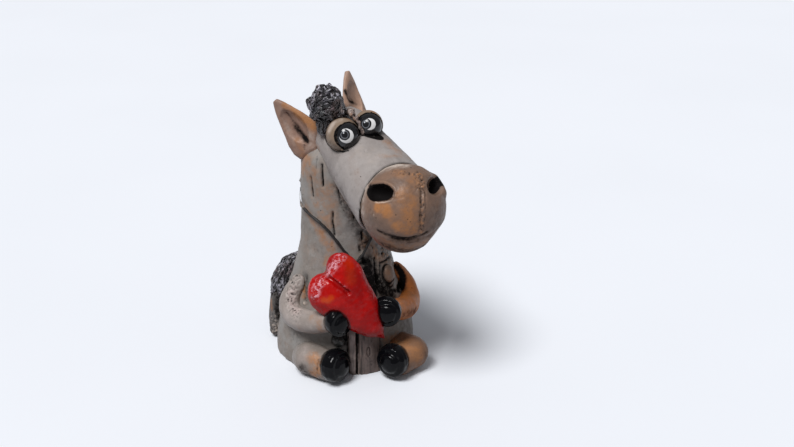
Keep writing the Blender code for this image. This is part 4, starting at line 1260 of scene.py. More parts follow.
@dataclass
class Head:
    """Skull, muzzle, eyes, ears and brow; the sizes of the eyes' rings in picture points."""

    iris_right: Spot = (344.6, 134.7)
    iris_left: Spot = (365.8, 124.0)
    white_right: Spot = (346.5, 135.9)
    white_left: Spot = (369.8, 124.0)
    nostril_right: Spot = (380.3, 192.4)
    nostril_left: Spot = (438.2, 186.6)
    white_sizes: Pair = (7.4, 6.0)
    iris_sizes: tuple[float, float, float] = (5.7, 4.1, 3.3)
    glint_size: float = 0.9
    glint_shift: Spot = (-1.0, -1.6)
    eye_white: Colour = (0.84, 0.84, 0.84)
    eye_black: Colour = (0.010, 0.010, 0.012)
    eye_grey: Colour = (0.16, 0.17, 0.19)
    eye_painted_glint: Colour = (0.62, 0.64, 0.68)

    def skull(self) -> ClayPiece:
        """The smooth grey head with its snout.

        Returns:
            The piece.
        """
        strokes = (
            rust("flush below the left eye", 4.2, 0.55, (387, 142), (398, 151)),
            rust("flush down the snout", 3.2, 0.42, (398, 152), (411, 159)),
            rust("flush above the muzzle", 1.8, 0.35, (376, 158), (392, 156), (408, 158)),
            rust("flush under the right ear", 3.0, 0.50, (309, 142), (317, 151)),
            rust("brown smear on the cheek", 2.6, 0.18, (351, 156), (355, 170), (360, 182)),
            pale("pale bridge", 3.6, 0.30, (360, 150), (372, 160), (380, 160)),
            dark("shade under the jaw", 2.4, 0.42, (342, 190), (350, 207), (357, 220)),
            dark("black bag of the left eye", 2.4, 1.0, (363, 131.5), (370, 134.5), (378, 137), soft=0.3),
            dark("end of the bag", 1.3, 0.9, (381, 138.5)),
            dark("line round the right lid", 0.6, 0.95, *rounded((342.6, 134.6), (17.4, 17.2), 70, 205)),
            pale("grey snout", 3.6, 0.20, (372, 150), (382, 155)),
            dark("brown nick by the ear", 0.6, 0.8, (317, 154), (317, 160), depth=0.3),
        )
        clay = ClayFinish("clay_head", (0.375, 0.338, 0.322), (0.300, 0.265, 0.250), gloss=0.46)
        return ClayPiece(
            "head", clay.build(), "grey_clay", voxel=0.00034, passes=34, lump=0.00014,
            neighbours=("muzzle", "eyelid_left", "eyelid_right"), settled=0.55, smeared=("body_shell",),
            crevice=0.0006, relief=0.25, strokes=strokes)

    def muzzle(self) -> ClayPiece:
        """The big ball with its nostrils and smile.

        Returns:
            The piece.
        """
        right, left = self.nostril_right, self.nostril_left
        strokes = (
            pale("pale rim", 4.4, 0.80, (363, 196), (367, 186), (374, 176), (386, 168), (402, 165)),
            pale("pale brow of the muzzle", 3.6, 0.55, (367, 186), (374, 175), (388, 169)),
            pale("pale left cheek", 3.0, 0.45, (361, 196), (363, 212)),
            rust("ochre below the rim", 4.0, 0.50, (396, 173), (408, 176), (418, 184)),
            rust("bright patch", 3.4, 1.0, (379, 207), (385, 209), (387, 212), soft=0.9),
            rust("ochre around the patch", 4.4, 0.45, (380, 206), (392, 218)),
            rust("ochre mid", 6.2, 0.66, (405, 196), (411, 212), (412, 229)),
            rust("ochre lower mid", 4.0, 0.75, (398, 226), (413, 231)),
            rust("rusty crust", 2.6, 0.9, (417, 173), (422, 182), (420, 188), crumble=0.4),
            rust("crust on the brow", 2.8, 0.7, (394, 172), (408, 174), (420, 178), crumble=0.22),
            rust("crust down the middle", 1.9, 0.8, (422, 186), (422.5, 200), (422, 214), (421, 231),
                 crumble=0.45),
            dark("dark streak", 0.7, 0.65, (420.5, 190), (421.2, 202), (420.0, 216), (420.5, 229),
                 depth=0.3),
            dark("second streak", 0.5, 0.55, (425.0, 192), (425.5, 206), (424.5, 220), depth=0.2),
            pale("pale scratch", 0.4, 0.6, (423, 194), (423, 208)),
            dark("grey cheek", 3.4, 0.20, (368, 216), (376, 226), (386, 230)),
            pale("pale dimples", 1.6, 0.5, (371, 210), (374, 213), crumble=0.15),
            pale("grey side", 4.0, 0.18, (433, 206), (434, 220)),
            dark("shade of the right cheek", 6.0, 0.30, (436, 212), (434, 226), (426, 238)),
            # The smile is a cut line; its darkening, the shade under it and the darker chin are painted
            # shade. The red chin is its colour.
            dark("smile", 1.2, 0.70, (378, 230.5), (388, 235), (400, 238), (415, 237.5), (427, 232),
                 depth=0.15),
            dark("deep of the smile", 2.2, 0.78, (392, 236.8), (403, 238.8), (415, 238.0), depth=0.2),
            dark("shade under the smile", 2.2, 0.50, (392, 240), (405, 242), (418, 239.5)),
            rust("red chin", 4.8, 0.60, (386, 243), (404, 248), (424, 243)),
            dark("dark chin", 4.2, 0.65, (385, 245), (404, 251), (428, 244)),
            # The lip below the right nostril is raised in the clay and is pale as a painted highlight.
            pale("lip below the right nostril", 0.7, 0.75, *rounded(right, (14.5, 10.0), 0, 110),
                 depth=-0.2),
            rust("raised rim of the right nostril", 0.9, 0.35, *rounded(right, (15.0, 10.5), -160, 20),
                 depth=-0.3),
            # The nostrils are painted black inside: painted shade in their deep holes.
            dark("right nostril", 3.1, 1.0, (375.5, 192.8), (385.0, 192.0), through=4.0, soft=0.25),
            pale("bulge of the left nostril", 3.4, 0.2, (438, 178), (443, 184), (444.5, 190), depth=-0.8),
            dark("left nostril", 2.0, 1.0, (435.4, 183.5), (436.6, 185.0), (434.6, 190.5), through=1.8,
                 soft=0.25),
            dark("inside of the left nostril", 2.3, 1.0, (433, 183), (436, 186), (434, 190.5), soft=0.3),
            dark("inside of the right nostril", 3.3, 1.0, (376, 192), (384, 192), soft=0.3),
            # The pale drop at the left nostril is a painted highlight.
            pale("pale drop at the left nostril", 0.6, 0.9, (434.6, 194.6)),
        )
        clay = ClayFinish("clay_muzzle", (0.232, 0.142, 0.100), (0.165, 0.108, 0.082), gloss=0.42)
        return ClayPiece(
            "muzzle", clay.build(), "brown_clay", voxel=0.00028, passes=44, lump=0.00018, grit=0.00005,
            neighbours=("head",), crevice=0.0003, relief=0.25, settled=0.4, strokes=strokes,
            presses=(Press("lower right cheek", (432.0, 236.0), (0.80, 0.60), 0.45),))

    def ears(self) -> Iterable[ClayPiece]:
        """Both leaf-shaped ears.

        Yields:
            Each ear in turn.
        """
        clay = ClayFinish("clay_ear", (0.355, 0.215, 0.160), (0.270, 0.165, 0.125), gloss=0.48)
        # A lighter copy of the ear clay for the left ear: painted light on its face, which turns away
        # from the lamp.
        lit_ear_clay = ClayFinish("clay_ear_pale", (0.50, 0.32, 0.235), (0.40, 0.25, 0.18), gloss=0.48)
        right = (
            rust("red upper lobe", 2.4, 0.8, (285, 104), (292, 108), (299, 114)),
            rust("orange lobe", 3.4, 0.95, (297, 113), (305, 119), (313, 127)),
            rust("orange root", 2.8, 0.5, (297, 141), (302, 150), (303, 156)),
            pale("pale lip", 1.6, 0.35, (279, 108), (286, 124), (294, 144)),
            pale("pale root", 2.6, 0.45, (310, 133), (314, 142), (308, 150)),
            dark("fold", 2.2, 0.35, (284, 108), (290, 117), (296, 126), (303, 137)),
            dark("start of the slot", 0.8, 0.60, (287, 113), (292, 120), (297, 127), depth=0.2),
            dark("slot", 1.9, 0.80, (296, 127), (301, 134), (306, 140), depth=0.3),
            dark("end of the slot", 1.7, 0.95, (303, 136), (307, 141)),
            dark("brown nick at the root", 0.7, 0.6, (304.5, 145), (304.5, 149)),
        )
        left = (
            dark("dark stain", 1.3, 0.85, (345, 91), (348, 98), (353, 103)),
            dark("dark root", 1.6, 0.45, (349, 98), (356, 104)),
            pink("pale middle", 2.6, 0.35, (350, 76), (354, 90)),
        )
        for side, finish, strokes, onto in (("right", clay, right, ("head", "body_shell")),
                                            ("left", lit_ear_clay, left, ("head",))):
            yield ClayPiece(
                "ear_" + side, finish.build(), "brown_clay", voxel=0.00020, passes=14, lump=0.00010,
                neighbours=("forelock",), smeared=onto, relief=0.35, strokes=strokes)

    def lids(self) -> Iterable[ClayPiece]:
        """The pale balls of clay that hold the eyes.

        Yields:
            Each lid in turn.
        """
        clay = ClayFinish("clay_lid", (0.285, 0.205, 0.145), (0.225, 0.160, 0.112), gloss=0.36).build()
        right = (
            pale("pale upper left", 2.4, 0.60, (329, 130), (333, 124), (340, 120)),
            dark("ring round the ball", 0.6, 1.0, *rounded((346.6, 136.0), (11.6, 12.0)), soft=0.6),
            rust("orange brow", 1.6, 0.60, (335, 119), (343, 117.5), (350, 120)),
            dark("brown lower edge", 2.0, 0.40, (331, 143), (338, 149), (349, 149.5)),
            dark("line round the lid", 0.4, 0.9, *rounded((343.0, 134.6), (16.8, 16.6), 85, 210)),
            dark("dark inner edge", 1.6, 0.7, (354, 146), (358, 140)),
        )
        left = (
            dark("ring round the ball", 0.7, 1.0, *rounded((368.2, 125.0), (9.8, 10.4)), soft=0.6),
            rust("orange ridge", 1.8, 0.75, (360, 111), (367, 109.5), (374, 112)),
            pale("grey outer edge", 1.6, 0.42, (377, 114), (381, 121), (382.5, 127)),
            dark("black lower half", 3.0, 1.0, (363, 131), (372, 135), (381, 135), soft=0.5),
            dark("black side", 1.6, 0.8, (378, 126), (380.5, 133)),
        )
        for side, strokes in (("right", right), ("left", left)):
            yield BallPiece(
                "eyelid_" + side, clay, "tan_clay", voxel=0.00018, passes=16, lump=0.00004, grit=0.0,
                neighbours=("eyeball_" + side,), crevice=0.00035, relief=0.0, seated="eyeball_" + side,
                strokes=strokes)

    def eyes(self) -> Iterable[ClayPiece]:
        """The painted eyeballs.

        Yields:
            Each eyeball in turn.
        """
        whites, irises = (self.white_right, self.white_left), (self.iris_right, self.iris_left)
        across, down = self.glint_shift
        for side, white, size, iris in zip(("right", "left"), whites, self.white_sizes, irises):
            ball = Mesher.tree("eyeball_" + side)
            disc, pupil = SIGHT.land(ball, white), SIGHT.land(ball, iris)
            # The glint is a painted highlight, a small pale disc up and left of the iris.
            glint = SIGHT.land(ball, (iris[0] + across, iris[1] + down))
            unit = SIGHT.grain(disc)
            tints = (self.eye_black, self.eye_grey, self.eye_black)
            rings = ((disc, size * unit, self.eye_white),
                     *((pupil, ring * unit, tint) for ring, tint in zip(self.iris_sizes, tints)),
                     (glint, self.glint_size * unit, self.eye_painted_glint))
            paint = EyePaint("eye_paint_" + side, rings, self.eye_black).build()
            yield BallPiece(
                "eyeball_" + side, paint, "black_glaze", voxel=0.00015, passes=14, lump=0.0, grit=0.0,
                relief=0.0, proud=HAND.eye_growth)

    def brow(self) -> ClayPiece:
        """Beads and coils pressed over the crown and between the eyes.

        Returns:
            The piece.
        """
        strokes = (
            pink("pink coil", 1.4, 0.45, (349, 111), (354, 117), (357, 124)),
            rust("rust between the beads", 0.7, 0.8, (351, 114), (356, 122)),
            dark("dark gap", 0.5, 0.8, (346, 116), (351, 120), (356, 129)),
        )
        clay = ClayFinish("clay_brow", (0.185, 0.130, 0.112), (0.09, 0.062, 0.056), gloss=0.34)
        return ClayPiece(
            "brow_strands", clay.build(), "tan_clay", voxel=0.00016, passes=5, lump=0.00024,
            lump_size=0.0012, grit=0.00016, relief=1.0,
            neighbours=("head", "eyelid_left", "eyelid_right", "forelock"), strokes=strokes)

    def pieces(self) -> Iterable[ClayPiece]:
        """All pieces of the head.

        Yields:
            Each piece in turn.
        """
        yield self.skull()
        yield self.muzzle()
        yield from self.ears()
        yield from self.lids()
        yield from self.eyes()
        yield self.brow()


@dataclass
class Hair:
    """Forelock and mane of pressed strands."""

    strand: float = 0.00036

    def pieces(self) -> Iterable[ClayPiece]:
        """The forelock and the mane.

        Yields:
            Each piece in turn.
        """
        oxide = OxideFinish("oxide_hair").build()
        strokes = (
            # The pale crown and the glints of both sides are painted highlights, and the black lower lock
            # and the black under the crown are painted shade.
            pale("silver crown", 3.0, 1.0, (318, 88), (325, 84), (333, 86)),
            pale("glints of the left side", 1.6, 0.5, (314, 94), (312, 104)),
            pale("glints of the right side", 2.0, 0.7, (334, 94), (336, 100), (333, 108)),
            rust("brown strand", 1.2, 0.75, (331, 92), (334, 103), (334, 115)),
            rust("brown strand by the brow", 1.2, 0.5, (338, 100), (342, 110)),
            pale("pale low strands", 1.4, 0.6, (329, 112), (331, 120)),
            black("black lock", 2.6, 0.8, (320, 112), (322, 122), (321, 131)),
            black("black under the crown", 1.8, 0.5, (316, 104), (326, 106), (330, 100)),
        )
        yield StrandPiece(
            "forelock", oxide, "black_oxide", voxel=0.00028, passes=6, lump=0.00035, lump_size=0.0020,
            count=320, radius=self.strand, length=0.0046, curl=1.7, lift=0.00024, sunk=0.00016, steps=7,
            lean=(0.2, -0.2, -0.9), strokes=strokes,
            presses=(Press("flat right side", (339.0, 94.0), (1.0, -0.25), 0.30),))
        yield StrandPiece(
            "mane", oxide, "black_oxide", voxel=0.00028, passes=8, lump=0.00025, lump_size=0.0016,
            count=150, radius=self.strand, length=0.0046, curl=0.8, lift=0.00022, lean=(0.0, 0.0, -1.2))


@dataclass
class Torso:
    """The hollow cone, its strip, knob, lump and floor plate; slits in millimetres."""

    slit: float = 0.75
    slit_radius: float = 0.7
    faint_slit: float = 0.3

    def neck_strokes(self) -> tuple[Stroke, ...]:
        """Slits, seam and flushes of the neck.

        Returns:
            The strokes.
        """
        slits = {
            "long slit": ((321.8, 164.8), (322.3, 175), (322.8, 186)),
            "left slit": ((310.8, 177.3), (312.6, 196.5)),
            "slit over the cord": ((333.0, 212.5), (332.6, 223), (334.4, 235)),
            "upper slit": ((298.4, 164.6), (300.3, 174.8)),
            "nick in the jaw's shade": ((353, 211.8), (353.6, 219)),
            "nick over the heart": ((361.5, 232.2), (362, 239.8)),
            "nick by the cord": ((359.6, 246.2), (360.2, 251.3)),
            "ragged nick": ((383.2, 247.5), (382.0, 255)),
            "ragged edge": ((390.5, 256.5), (385, 261), (379, 263.5)),
        }
        return (
            *(dark(label, self.slit_radius, 1.0, *spots, depth=self.slit)
              for label, spots in slits.items()),
            dark("seam behind the jaw", 0.5, 0.95, (337.4, 176), (338.4, 192), (341, 203.5), (344, 211),
                 depth=self.slit),
            dark("faint slit", 0.5, 0.55, (316.8, 158.5), (316.0, 168.4), depth=self.faint_slit),
            dark("shade behind the jaw", 6.2, 0.60, (342, 186), (349, 204), (358, 224), (366, 240)),
            rust("warm shade behind the jaw", 5.0, 0.35, (342, 190), (352, 212)),
            pale("bead on the nape", 0.6, 0.6, (301, 180), depth=-0.7),
            rust("flush by the ear", 5.2, 0.62, (302, 155), (307, 161), (302, 168)),
            rust("flush of the throat", 3.4, 0.60, (305, 162), (310, 178)),
            rust("warm neck", 7.0, 0.50, (312, 172), (318, 196), (330, 222)),
            rust("ochre of the neck", 3.8, 0.45, (330, 186), (333, 208)),
            rust("flush along the cord", 3.4, 0.60, (306, 208), (317, 226), (326, 242)),
            rust("flush under the cord", 3.0, 0.55, (332, 243), (330, 254), (327, 264)),
            rust("ochre throat", 4.2, 0.60, (364, 240), (372, 250)),
            pale("pale neck", 3.0, 0.22, (304, 190), (307, 200)),
        )

    def chest_strokes(self) -> tuple[Stroke, ...]:
        """Hollows, rolls and rough spots of the chest and sides.

        Returns:
            The strokes.
        """
        return (
            dark("hollow right of the heart", 1.4, 1.0, (363, 258), (367, 275), (374, 296), depth=0.8),
            dark("gap beside the roll", 0.6, 1.0, (374.4, 258), (375.4, 275), (379, 292), depth=0.5),
            # The roll is raised in the clay; its pale edge is a painted highlight.
            pale("raised roll", 0.7, 0.45, (376.8, 257), (377.6, 274), (381, 290), depth=-0.6),
            dark("gap right of the roll", 0.6, 0.9, (379.4, 262), (380, 276), depth=0.4),
            # Darkens the chest right of the heart.
            dark("stain of the chest", 6.2, 0.85, (368, 264), (376, 284), (390, 296)),
            rust("warm chest", 3.6, 0.55, (376, 256), (384, 262), (394, 270)),
            dark("hollow by the left foreleg", 2.6, 1.0, (398, 266), (402, 276), (399, 288), depth=0.6),
            # Darkens the chest below the lump.
            dark("stain below the lump", 2.0, 0.9, (380, 286), (392, 291), (400, 290)),
            rust("rust by the left hoof", 3.2, 0.55, (386, 340), (398, 336)),
            # Painted shade in the hollow between the right foreleg and the heart; the warm edge browns
            # that shade.
            dark("hollow in the elbow", 3.0, 0.62, (305, 278), (306, 288), (306.5, 299), depth=0.5),
            rust("warm edge of the hollow", 2.0, 0.8, (302, 280), (303, 296)),
            pale("bead in the elbow", 1.2, 1.0, (305.0, 302.6), depth=-0.8),
            pink("rough hip", 3.0, 0.75, (290, 296), (294, 308)),
            pale("pale flank", 4.6, 0.20, (311, 250), (312, 266)),
            dark("shade under the heart", 2.6, 0.8, (345, 330), (352, 334), (345, 342)),
            # Painted shade on the right flank, which turns away from the lamp.
            dark("dark right flank", 7.0, 0.30, (404, 322), (408, 336)),
            pale("pitted hip", 4.4, 0.8, (287, 278), (288, 296), (290, 316), crumble=0.4),
            pale("pitted flank", 3.0, 0.5, (297, 236), (295, 262), (291, 276), crumble=0.3),
            pale("pitted haunch", 4.0, 0.5, (295, 322), (297, 338), crumble=0.3),
            rust("ragged chest", 3.0, 0.9, (364, 232), (366, 246), (384, 252), (390, 260), crumble=0.6),
        )

    def cone(self) -> ClayPiece:
        """Body and neck in one cone.

        Returns:
            The piece.
        """
        clay = ClayFinish("clay_body", (0.300, 0.285, 0.270), (0.245, 0.218, 0.196), gloss=0.54)
        return ClayPiece("body_shell", clay.build(), "grey_clay", voxel=0.00054, passes=19,
                         lump=0.00022, lump_size=0.0075, grit=0.00007, crevice=0.0008,
                         neighbours=("heart", "belly_strip", "chest_lump", "tail_tuft",
                                     "fore_hoof_left", "hind_hoof_left", "hind_hoof_right",
                                     "belly_knob"),
                         relief=0.45, strokes=self.neck_strokes() + self.chest_strokes(),
                         washes={Wash.PINK: (0.009, 0.08), Wash.RUST: (0.013, 0.20),
                                 Wash.DARK: (0.010, 0.12)})

    def strip(self) -> ClayPiece:
        """The grained strip down the belly.

        Returns:
            The piece.
        """
        bark = ClayFinish("clay_strip", (0.235, 0.175, 0.155), (0.150, 0.115, 0.105), gloss=0.46,
                          streaked=True)
        strokes = (
            dark("gap between the planks", 0.8, 1.0, (357.0, 334), (357.4, 354), (357.0, 374), depth=0.8,
                 soft=0.8),
            pink("pale edge of the gap", 0.6, 0.8, (354.2, 337), (354.6, 370)),
            # Pale pink on the left plank, lighter than its clay as painted light where the hoof's shadow
            # falls.
            pink("pale left plank", 2.0, 0.9, (351.5, 338), (352, 370)),
            dark("left edge", 0.6, 0.8, (348.4, 336), (348.4, 372)),
            dark("right edge", 0.8, 1.0, (380.0, 338), (380.0, 356), depth=0.4),
            dark("knot", 0.4, 0.7, *rounded((368.7, 352.0), (1.6, 4.6)), depth=0.2),
            dark("grain below the knot", 0.4, 0.5, (366, 358), (368, 362), (372, 361)),
            # Darkens the strip's top, right of the heart.
            dark("stained top", 6.0, 0.9, (364, 258), (369, 276), (378, 300)),
        )
        return ClayPiece(
            "belly_strip", bark.build(), "grey_clay", voxel=0.00020, passes=8,
            neighbours=("body_shell", "heart"), crevice=0.0005, strokes=strokes)

    def pieces(self) -> Iterable[ClayPiece]:
        """All pieces of the torso.

        Yields:
            Each piece in turn.
        """
        yield self.cone()
        yield self.strip()
        oxide = ClayFinish("oxide_knob", (0.040, 0.042, 0.040), (0.022, 0.022, 0.023), gloss=0.28)
        yield ClayPiece(
            "belly_knob", oxide.build(), "black_oxide", voxel=0.00016, passes=14, lump=0.00010,
            neighbours=("body_shell",),
            strokes=(pale("worn top", 0.9, 0.35, (341.0, 341.0), depth=-0.2),))
        lump = ClayFinish("clay_lump", (0.200, 0.135, 0.100), (0.115, 0.075, 0.058), gloss=0.42)
        yield ClayPiece("chest_lump", lump.build(), "brown_clay", voxel=0.00018, passes=16,
                        neighbours=("foreleg_left", "body_shell"), crevice=0.0010,
                        strokes=(rust("tan face", 2.0, 0.40, (387, 270), (390, 277)),
                                 dark("dark foot", 1.4, 0.95, (383, 282), (390, 284), (397, 282),
                                      depth=0.4)))
        plate = ClayFinish("clay_plate", (0.30, 0.245, 0.215), (0.24, 0.19, 0.165), gloss=0.75)
        yield ClayPiece(
            "base_plate", plate.build(), "grey_clay", voxel=0.00040, passes=4, lump=0.0, grit=0.0,
            relief=0.2, neighbours=("body_shell",))


@dataclass
class HoofPiece(ClayPiece):
    """A glazed hoof with a sunk sole and a rounded rim."""

    leg: str = ""
    groove_angle: float = math.radians(50.0)
    groove_width: float = math.radians(9.0)
    groove_depth: float = 0.00042
    rim_angle: float = math.radians(66.0)
    rim_height: float = 0.00026

    def add_detail(self, mesh: bpy.types.Mesh) -> None:
        """Press the groove and leave the rim proud.

        Args:
            mesh: The mesh to change.
        """
        rows, normals = Mesher.points(mesh), Mesher.normals(mesh)
        middle = (rows.min(0) + rows.max(0)) / 2
        low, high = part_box(self.leg)
        away = middle - (np.array(low) + np.array(high)) / 2
        out = (rows - middle) / np.maximum(np.linalg.norm(rows - middle, axis=1), Mesher.TINY)[:, None]
        angle = np.arccos(np.clip(out @ (away / np.linalg.norm(away)), -1, 1))

        def ridge(centre: float) -> np.ndarray:
            """A smooth ridge round the axis at one angle."""
            return np.exp(-((angle - centre) / self.groove_width) ** 2)

        shift = ridge(self.rim_angle) * self.rim_height - ridge(self.groove_angle) * self.groove_depth
        Mesher.place(mesh, rows + normals * shift[:, None])


@dataclass
class Limbs:
    """Rolled legs with their glazed hooves."""

    def marks(self) -> dict[str, tuple[Stroke, ...]]:
        """What is brushed on each leg.

        Returns:
            The strokes of each leg by its node.
        """
        return {
            "foreleg_right": (
                rust("flush at the wrist", 3.0, 0.48, (312, 318), (318, 322), (322, 330)),
                rust("warm underside", 2.4, 0.30, (298, 326), (310, 333), (320, 334)),
                pink("pink elbow", 2.8, 0.9, (291, 292), (292, 304), (297, 312)),
                # Painted light on the top of the forearm, which faces up to the lamp.
                pale("pale top", 1.8, 0.35, (300, 310), (312, 312)),
                pink("pitted elbow", 3.8, 0.9, (296, 276), (291, 292), (292, 306), (297, 315),
                     crumble=0.5)),
            "foreleg_left": (
                rust("orange forearm", 5.8, 0.35, (398, 298), (410, 294), (420, 300)),
                rust("orange lower arm", 4.4, 0.3, (404, 306), (416, 306)),
                dark("dark inside", 2.8, 1.0, (397, 266), (403, 276), (401, 288)),
                pink("grey shoulder", 1.8, 0.45, (404, 268), (412, 276), (418, 284)),
                dark("brown underside", 2.8, 0.58, (404, 315), (415, 311))),
            "hind_leg_right": (
                rust("flush of the shin", 4.2, 0.75, (312, 357), (318, 366), (314, 376)),
                # Painted shade low on the right hind leg.
                dark("dark low side", 3.6, 0.60, (302, 368), (312, 377), (322, 382)),
                pink("pink haunch", 4.0, 0.45, (304, 350), (302, 360)),
                dark("dark hoof line", 1.0, 0.6, (319, 360), (317, 370), (320, 380))),
            "hind_leg_left": (
                rust("orange shin", 5.6, 0.60, (404, 345), (414, 350), (420, 362)),
                rust("rust top", 2.6, 0.7, (386, 338), (396, 342)),
                # Painted shade on the right side of the left hind leg, away from the lamp.
                dark("dark side", 2.4, 0.40, (425, 352), (425, 366))),
        }

    def pieces(self) -> Iterable[ClayPiece]:
        """All legs and hooves.

        Yields:
            Each piece in turn.
        """
        pale = ClayFinish("clay_arm_pale", (0.395, 0.345, 0.320), (0.31, 0.265, 0.240), gloss=0.42)
        grey = ClayFinish("clay_leg_grey", (0.300, 0.262, 0.238), (0.230, 0.195, 0.172), gloss=0.42)
        # The left foreleg's ochre is brighter than its clay, painted light for the light thrown back onto
        # its shaded side.
        ochre = ClayFinish("clay_arm_ochre_and_painted_light", (0.68, 0.215, 0.048), (0.52, 0.165, 0.042), gloss=0.44)
        brown = ClayFinish("clay_leg_brown", (0.270, 0.138, 0.075), (0.190, 0.105, 0.066), gloss=0.44)
        finishes = {"foreleg_right": pale.build(), "hind_leg_right": grey.build(),
                    "foreleg_left": ochre.build(), "hind_leg_left": brown.build()}
        marks = self.marks()
        glaze = GlazeFinish("glaze_hoof", (0.0040, 0.0038, 0.0050), (0.30, 0.28, 0.26),
                            (0.002, 0.002, 0.003), coat=0.0, roughness=0.13, gleam=0.15,
                            ripple=0.00018).build()
        for side in ("right", "left"):
            for kind, hoof in (("foreleg_", "fore_hoof_"), ("hind_leg_", "hind_hoof_")):
                yield ClayPiece(
                    kind + side, finishes[kind + side], "brown_clay", voxel=0.00028, passes=40,
                    lump=0.00016, crevice=0.0004, relief=0.20, neighbours=(hoof + side, "belly_knob"),
                    smeared=("body_shell",), settled=0.8, strokes=marks[kind + side])
                yield HoofPiece(
                    hoof + side, glaze, "black_glaze", voxel=0.00020, passes=14, lump=0.00010,
                    lump_size=0.0030, grit=0.0, relief=0.0, leg=kind + side)


@dataclass
class Charm:
    """The red heart and the cord it hangs from."""

    def heart(self) -> ClayPiece:
        """The puffed heart under its red glaze, with painted highlights and painted shade.

        Returns:
            The piece.
        """
        glaze = GlazeFinish("glaze_heart", (0.50, 0.0040, 0.0025), (0.80, 0.36, 0.42),
                            (0.33, 0.0020, 0.0022), coat=0.06, roughness=0.24, gleam=0.18,
                            ripple=0.00006)
        strokes = (
            dark("groove", 1.3, 0.6, (328.5, 277.5), (334, 282), (341, 287.5), (348, 293), depth=1.0),
            pale("glint along the groove", 0.5, 0.7, (333, 277), (341, 283.5), (347, 289), depth=-0.2),
            rust("orange crown", 3.0, 0.16, (347, 259), (350, 268), (351, 280)),
            rust("yellow glow", 1.6, 0.50, (323, 300), (328, 301), (331, 298)),
            # Painted highlights: pale sparkles on the upper left of both lobes, where the lamp falls.
            pale("broken glaze of the left lobe", 2.6, 1.0, (315, 296), (316, 288), (321, 281)),
            pale("broken glaze of the right lobe", 2.6, 1.0, (329, 272), (334, 265), (341, 257)),
            pale("soft sheen of the right side", 1.6, 0.15, (358, 266), (366, 282), (372, 298)),
            dark("shade down the right side", 2.2, 0.8, (362, 268), (370, 290), (378, 312)),
        )
        return ClayPiece(
            "heart", glaze.build(), "red_glaze", voxel=0.00030, passes=36, lump=0.00026,
            lump_size=0.0052, grit=0.00006, relief=0.10, crevice=0.0004, strokes=strokes,
            neighbours=("fore_hoof_right", "fore_hoof_left"))

    def pieces(self) -> Iterable[ClayPiece]:
        """The heart and its cord.

        Yields:
            Each piece in turn.
        """
        yield self.heart()
        cord = ClayFinish("oxide_cord", (0.013, 0.011, 0.011), (0.007, 0.006, 0.006), gloss=0.50)
        worn = pale("worn grey end", 1.6, 0.6, (296, 190), (296, 198), (303, 206))
        yield ClayPiece(
            "neck_cord", cord.build(), "black_oxide", voxel=0.00016, passes=3, lump=0.00014,
            lump_size=0.002, relief=0.1, strokes=(worn,),
            presses=(Press("end of the loop", (300.5, 196.0), (-1.0, 0.0), 0.2),))


@dataclass
class Tail:
    """The tail's roll and its tuft of long strands."""

    def pieces(self) -> Iterable[ClayPiece]:
        """The tail and its tuft.

        Yields:
            Each piece in turn.
        """
        clay = ClayFinish("clay_tail", (0.150, 0.138, 0.132), (0.090, 0.080, 0.076), gloss=0.50).build()
        strokes = (
            rust("brown stalk", 1.2, 0.5, (271, 300), (271.5, 310)),
            dark("dark crook", 3.0, 0.75, (277, 296), (277, 306), (279, 316)),
            pale("grey foot", 3.0, 0.30, (274, 325), (275, 340)),
            pale("pitted tail", 4.4, 0.8, (276, 316), (275, 330), (278, 346), crumble=0.5))
        yield ClayPiece(
            "tail", clay, "brown_clay", voxel=0.00024, passes=16, neighbours=("tail_tuft",),
            smeared=("body_shell",), relief=0.4, strokes=strokes, washes={Wash.DARK: (0.004, 0.35)})
        oxide = OxideFinish("oxide_tail").build()
        yield StrandPiece(
            "tail_tuft", oxide, "black_oxide", voxel=0.00028, passes=6, lump=0.00022, lump_size=0.0016,
            count=190, radius=0.00036, length=0.0062, curl=0.5, lift=0.00030, steps=8, sunk=0.00012,
            lowest=-0.6, lean=(1.0, 0.0, 2.6),
            presses=(Press("flat top", (286.0, 257.0), (0.0, -1.0), 0.35),))


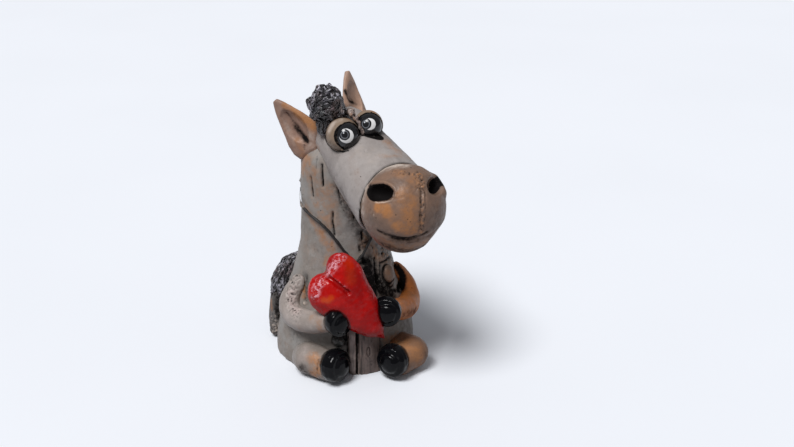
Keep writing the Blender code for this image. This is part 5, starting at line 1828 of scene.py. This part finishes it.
@dataclass
class Studio:
    """Pale floor, soft lamps and the camera."""

    floor_radius: float = 5.0
    floor_sides: int = 96
    floor_tint: Colour = (0.910, 0.935, 0.990)
    floor_bounce: Colour = (0.26, 0.25, 0.27)
    floor_roughness: float = 0.75
    floor_gleam: float = 0.10
    mottles: Pattern = (6.0, 2.0)
    mottled: Band = (0.3, 0.7)
    mottle_shade: float = 0.985
    key_angle: float = math.radians(24.0)
    key_strength: float = 2.75
    key_from: tuple[float, float, float] = (-0.52, -0.42, 1.10)
    sky_tint: Colour = (0.94, 0.96, 1.0)
    sky_strength: float = 0.25

    def build(self) -> None:
        """Set up the stage around the figure."""
        self.floor()
        self.key()
        self.sky()
        SIGHT.add_camera()
        bpy.context.scene.view_settings.view_transform = "Standard"

    def floor(self) -> None:
        """A wide pale floor, darker for the light that it throws back than it shows."""
        mesh = bmesh.new()
        bmesh.ops.create_circle(mesh, segments=self.floor_sides, radius=self.floor_radius,
                                cap_ends=True)
        data = bpy.data.meshes.new("floor")
        mesh.to_mesh(data)
        mesh.free()
        obj = add_object("floor", data)
        g = Graph("floor_paint")
        shade = tuple(part * self.mottle_shade for part in self.floor_tint)
        tint = g.mix(g.ramp(g.noise(*self.mottles), *self.mottled), self.floor_tint, shade)
        path = g.node("ShaderNodeLightPath").outputs
        shown = g.math("MAXIMUM", path["Is Camera Ray"], path["Is Glossy Ray"])
        shown = g.math("MAXIMUM", shown, path["Is Transmission Ray"])
        g.shade({"Base Color": g.mix(shown, self.floor_bounce, tint),
                 "Roughness": self.floor_roughness, "Specular IOR Level": self.floor_gleam})
        data.materials.append(g.material)

    def key(self) -> None:
        """A large soft lamp, high on the front left, far enough off to light evenly."""
        data = bpy.data.lights.new("key", "SUN")
        data.angle = self.key_angle
        data.energy = self.key_strength
        obj = add_object("key", data)
        obj.location = self.key_from
        turn_towards(obj, -Vector(self.key_from))

    def sky(self) -> None:
        """Even light from all round."""
        world = bpy.data.worlds.new("soft_room")
        world.use_nodes = True
        back = world.node_tree.nodes["Background"]
        back.inputs["Color"].default_value = (*self.sky_tint, 1.0)
        back.inputs["Strength"].default_value = self.sky_strength
        bpy.context.scene.world = world


def main() -> None:
    """Build the figure piece by piece, then the place it stands in."""
    logging.basicConfig(level=logging.INFO, format="%(message)s")
    for assembly in (Torso(), Head(), Hair(), Limbs(), Charm(), Tail()):
        log.info("%s", type(assembly).__name__)
        for piece in assembly.pieces():
            piece.build()
    Studio().build()


if __name__ == "__main__":
    main()
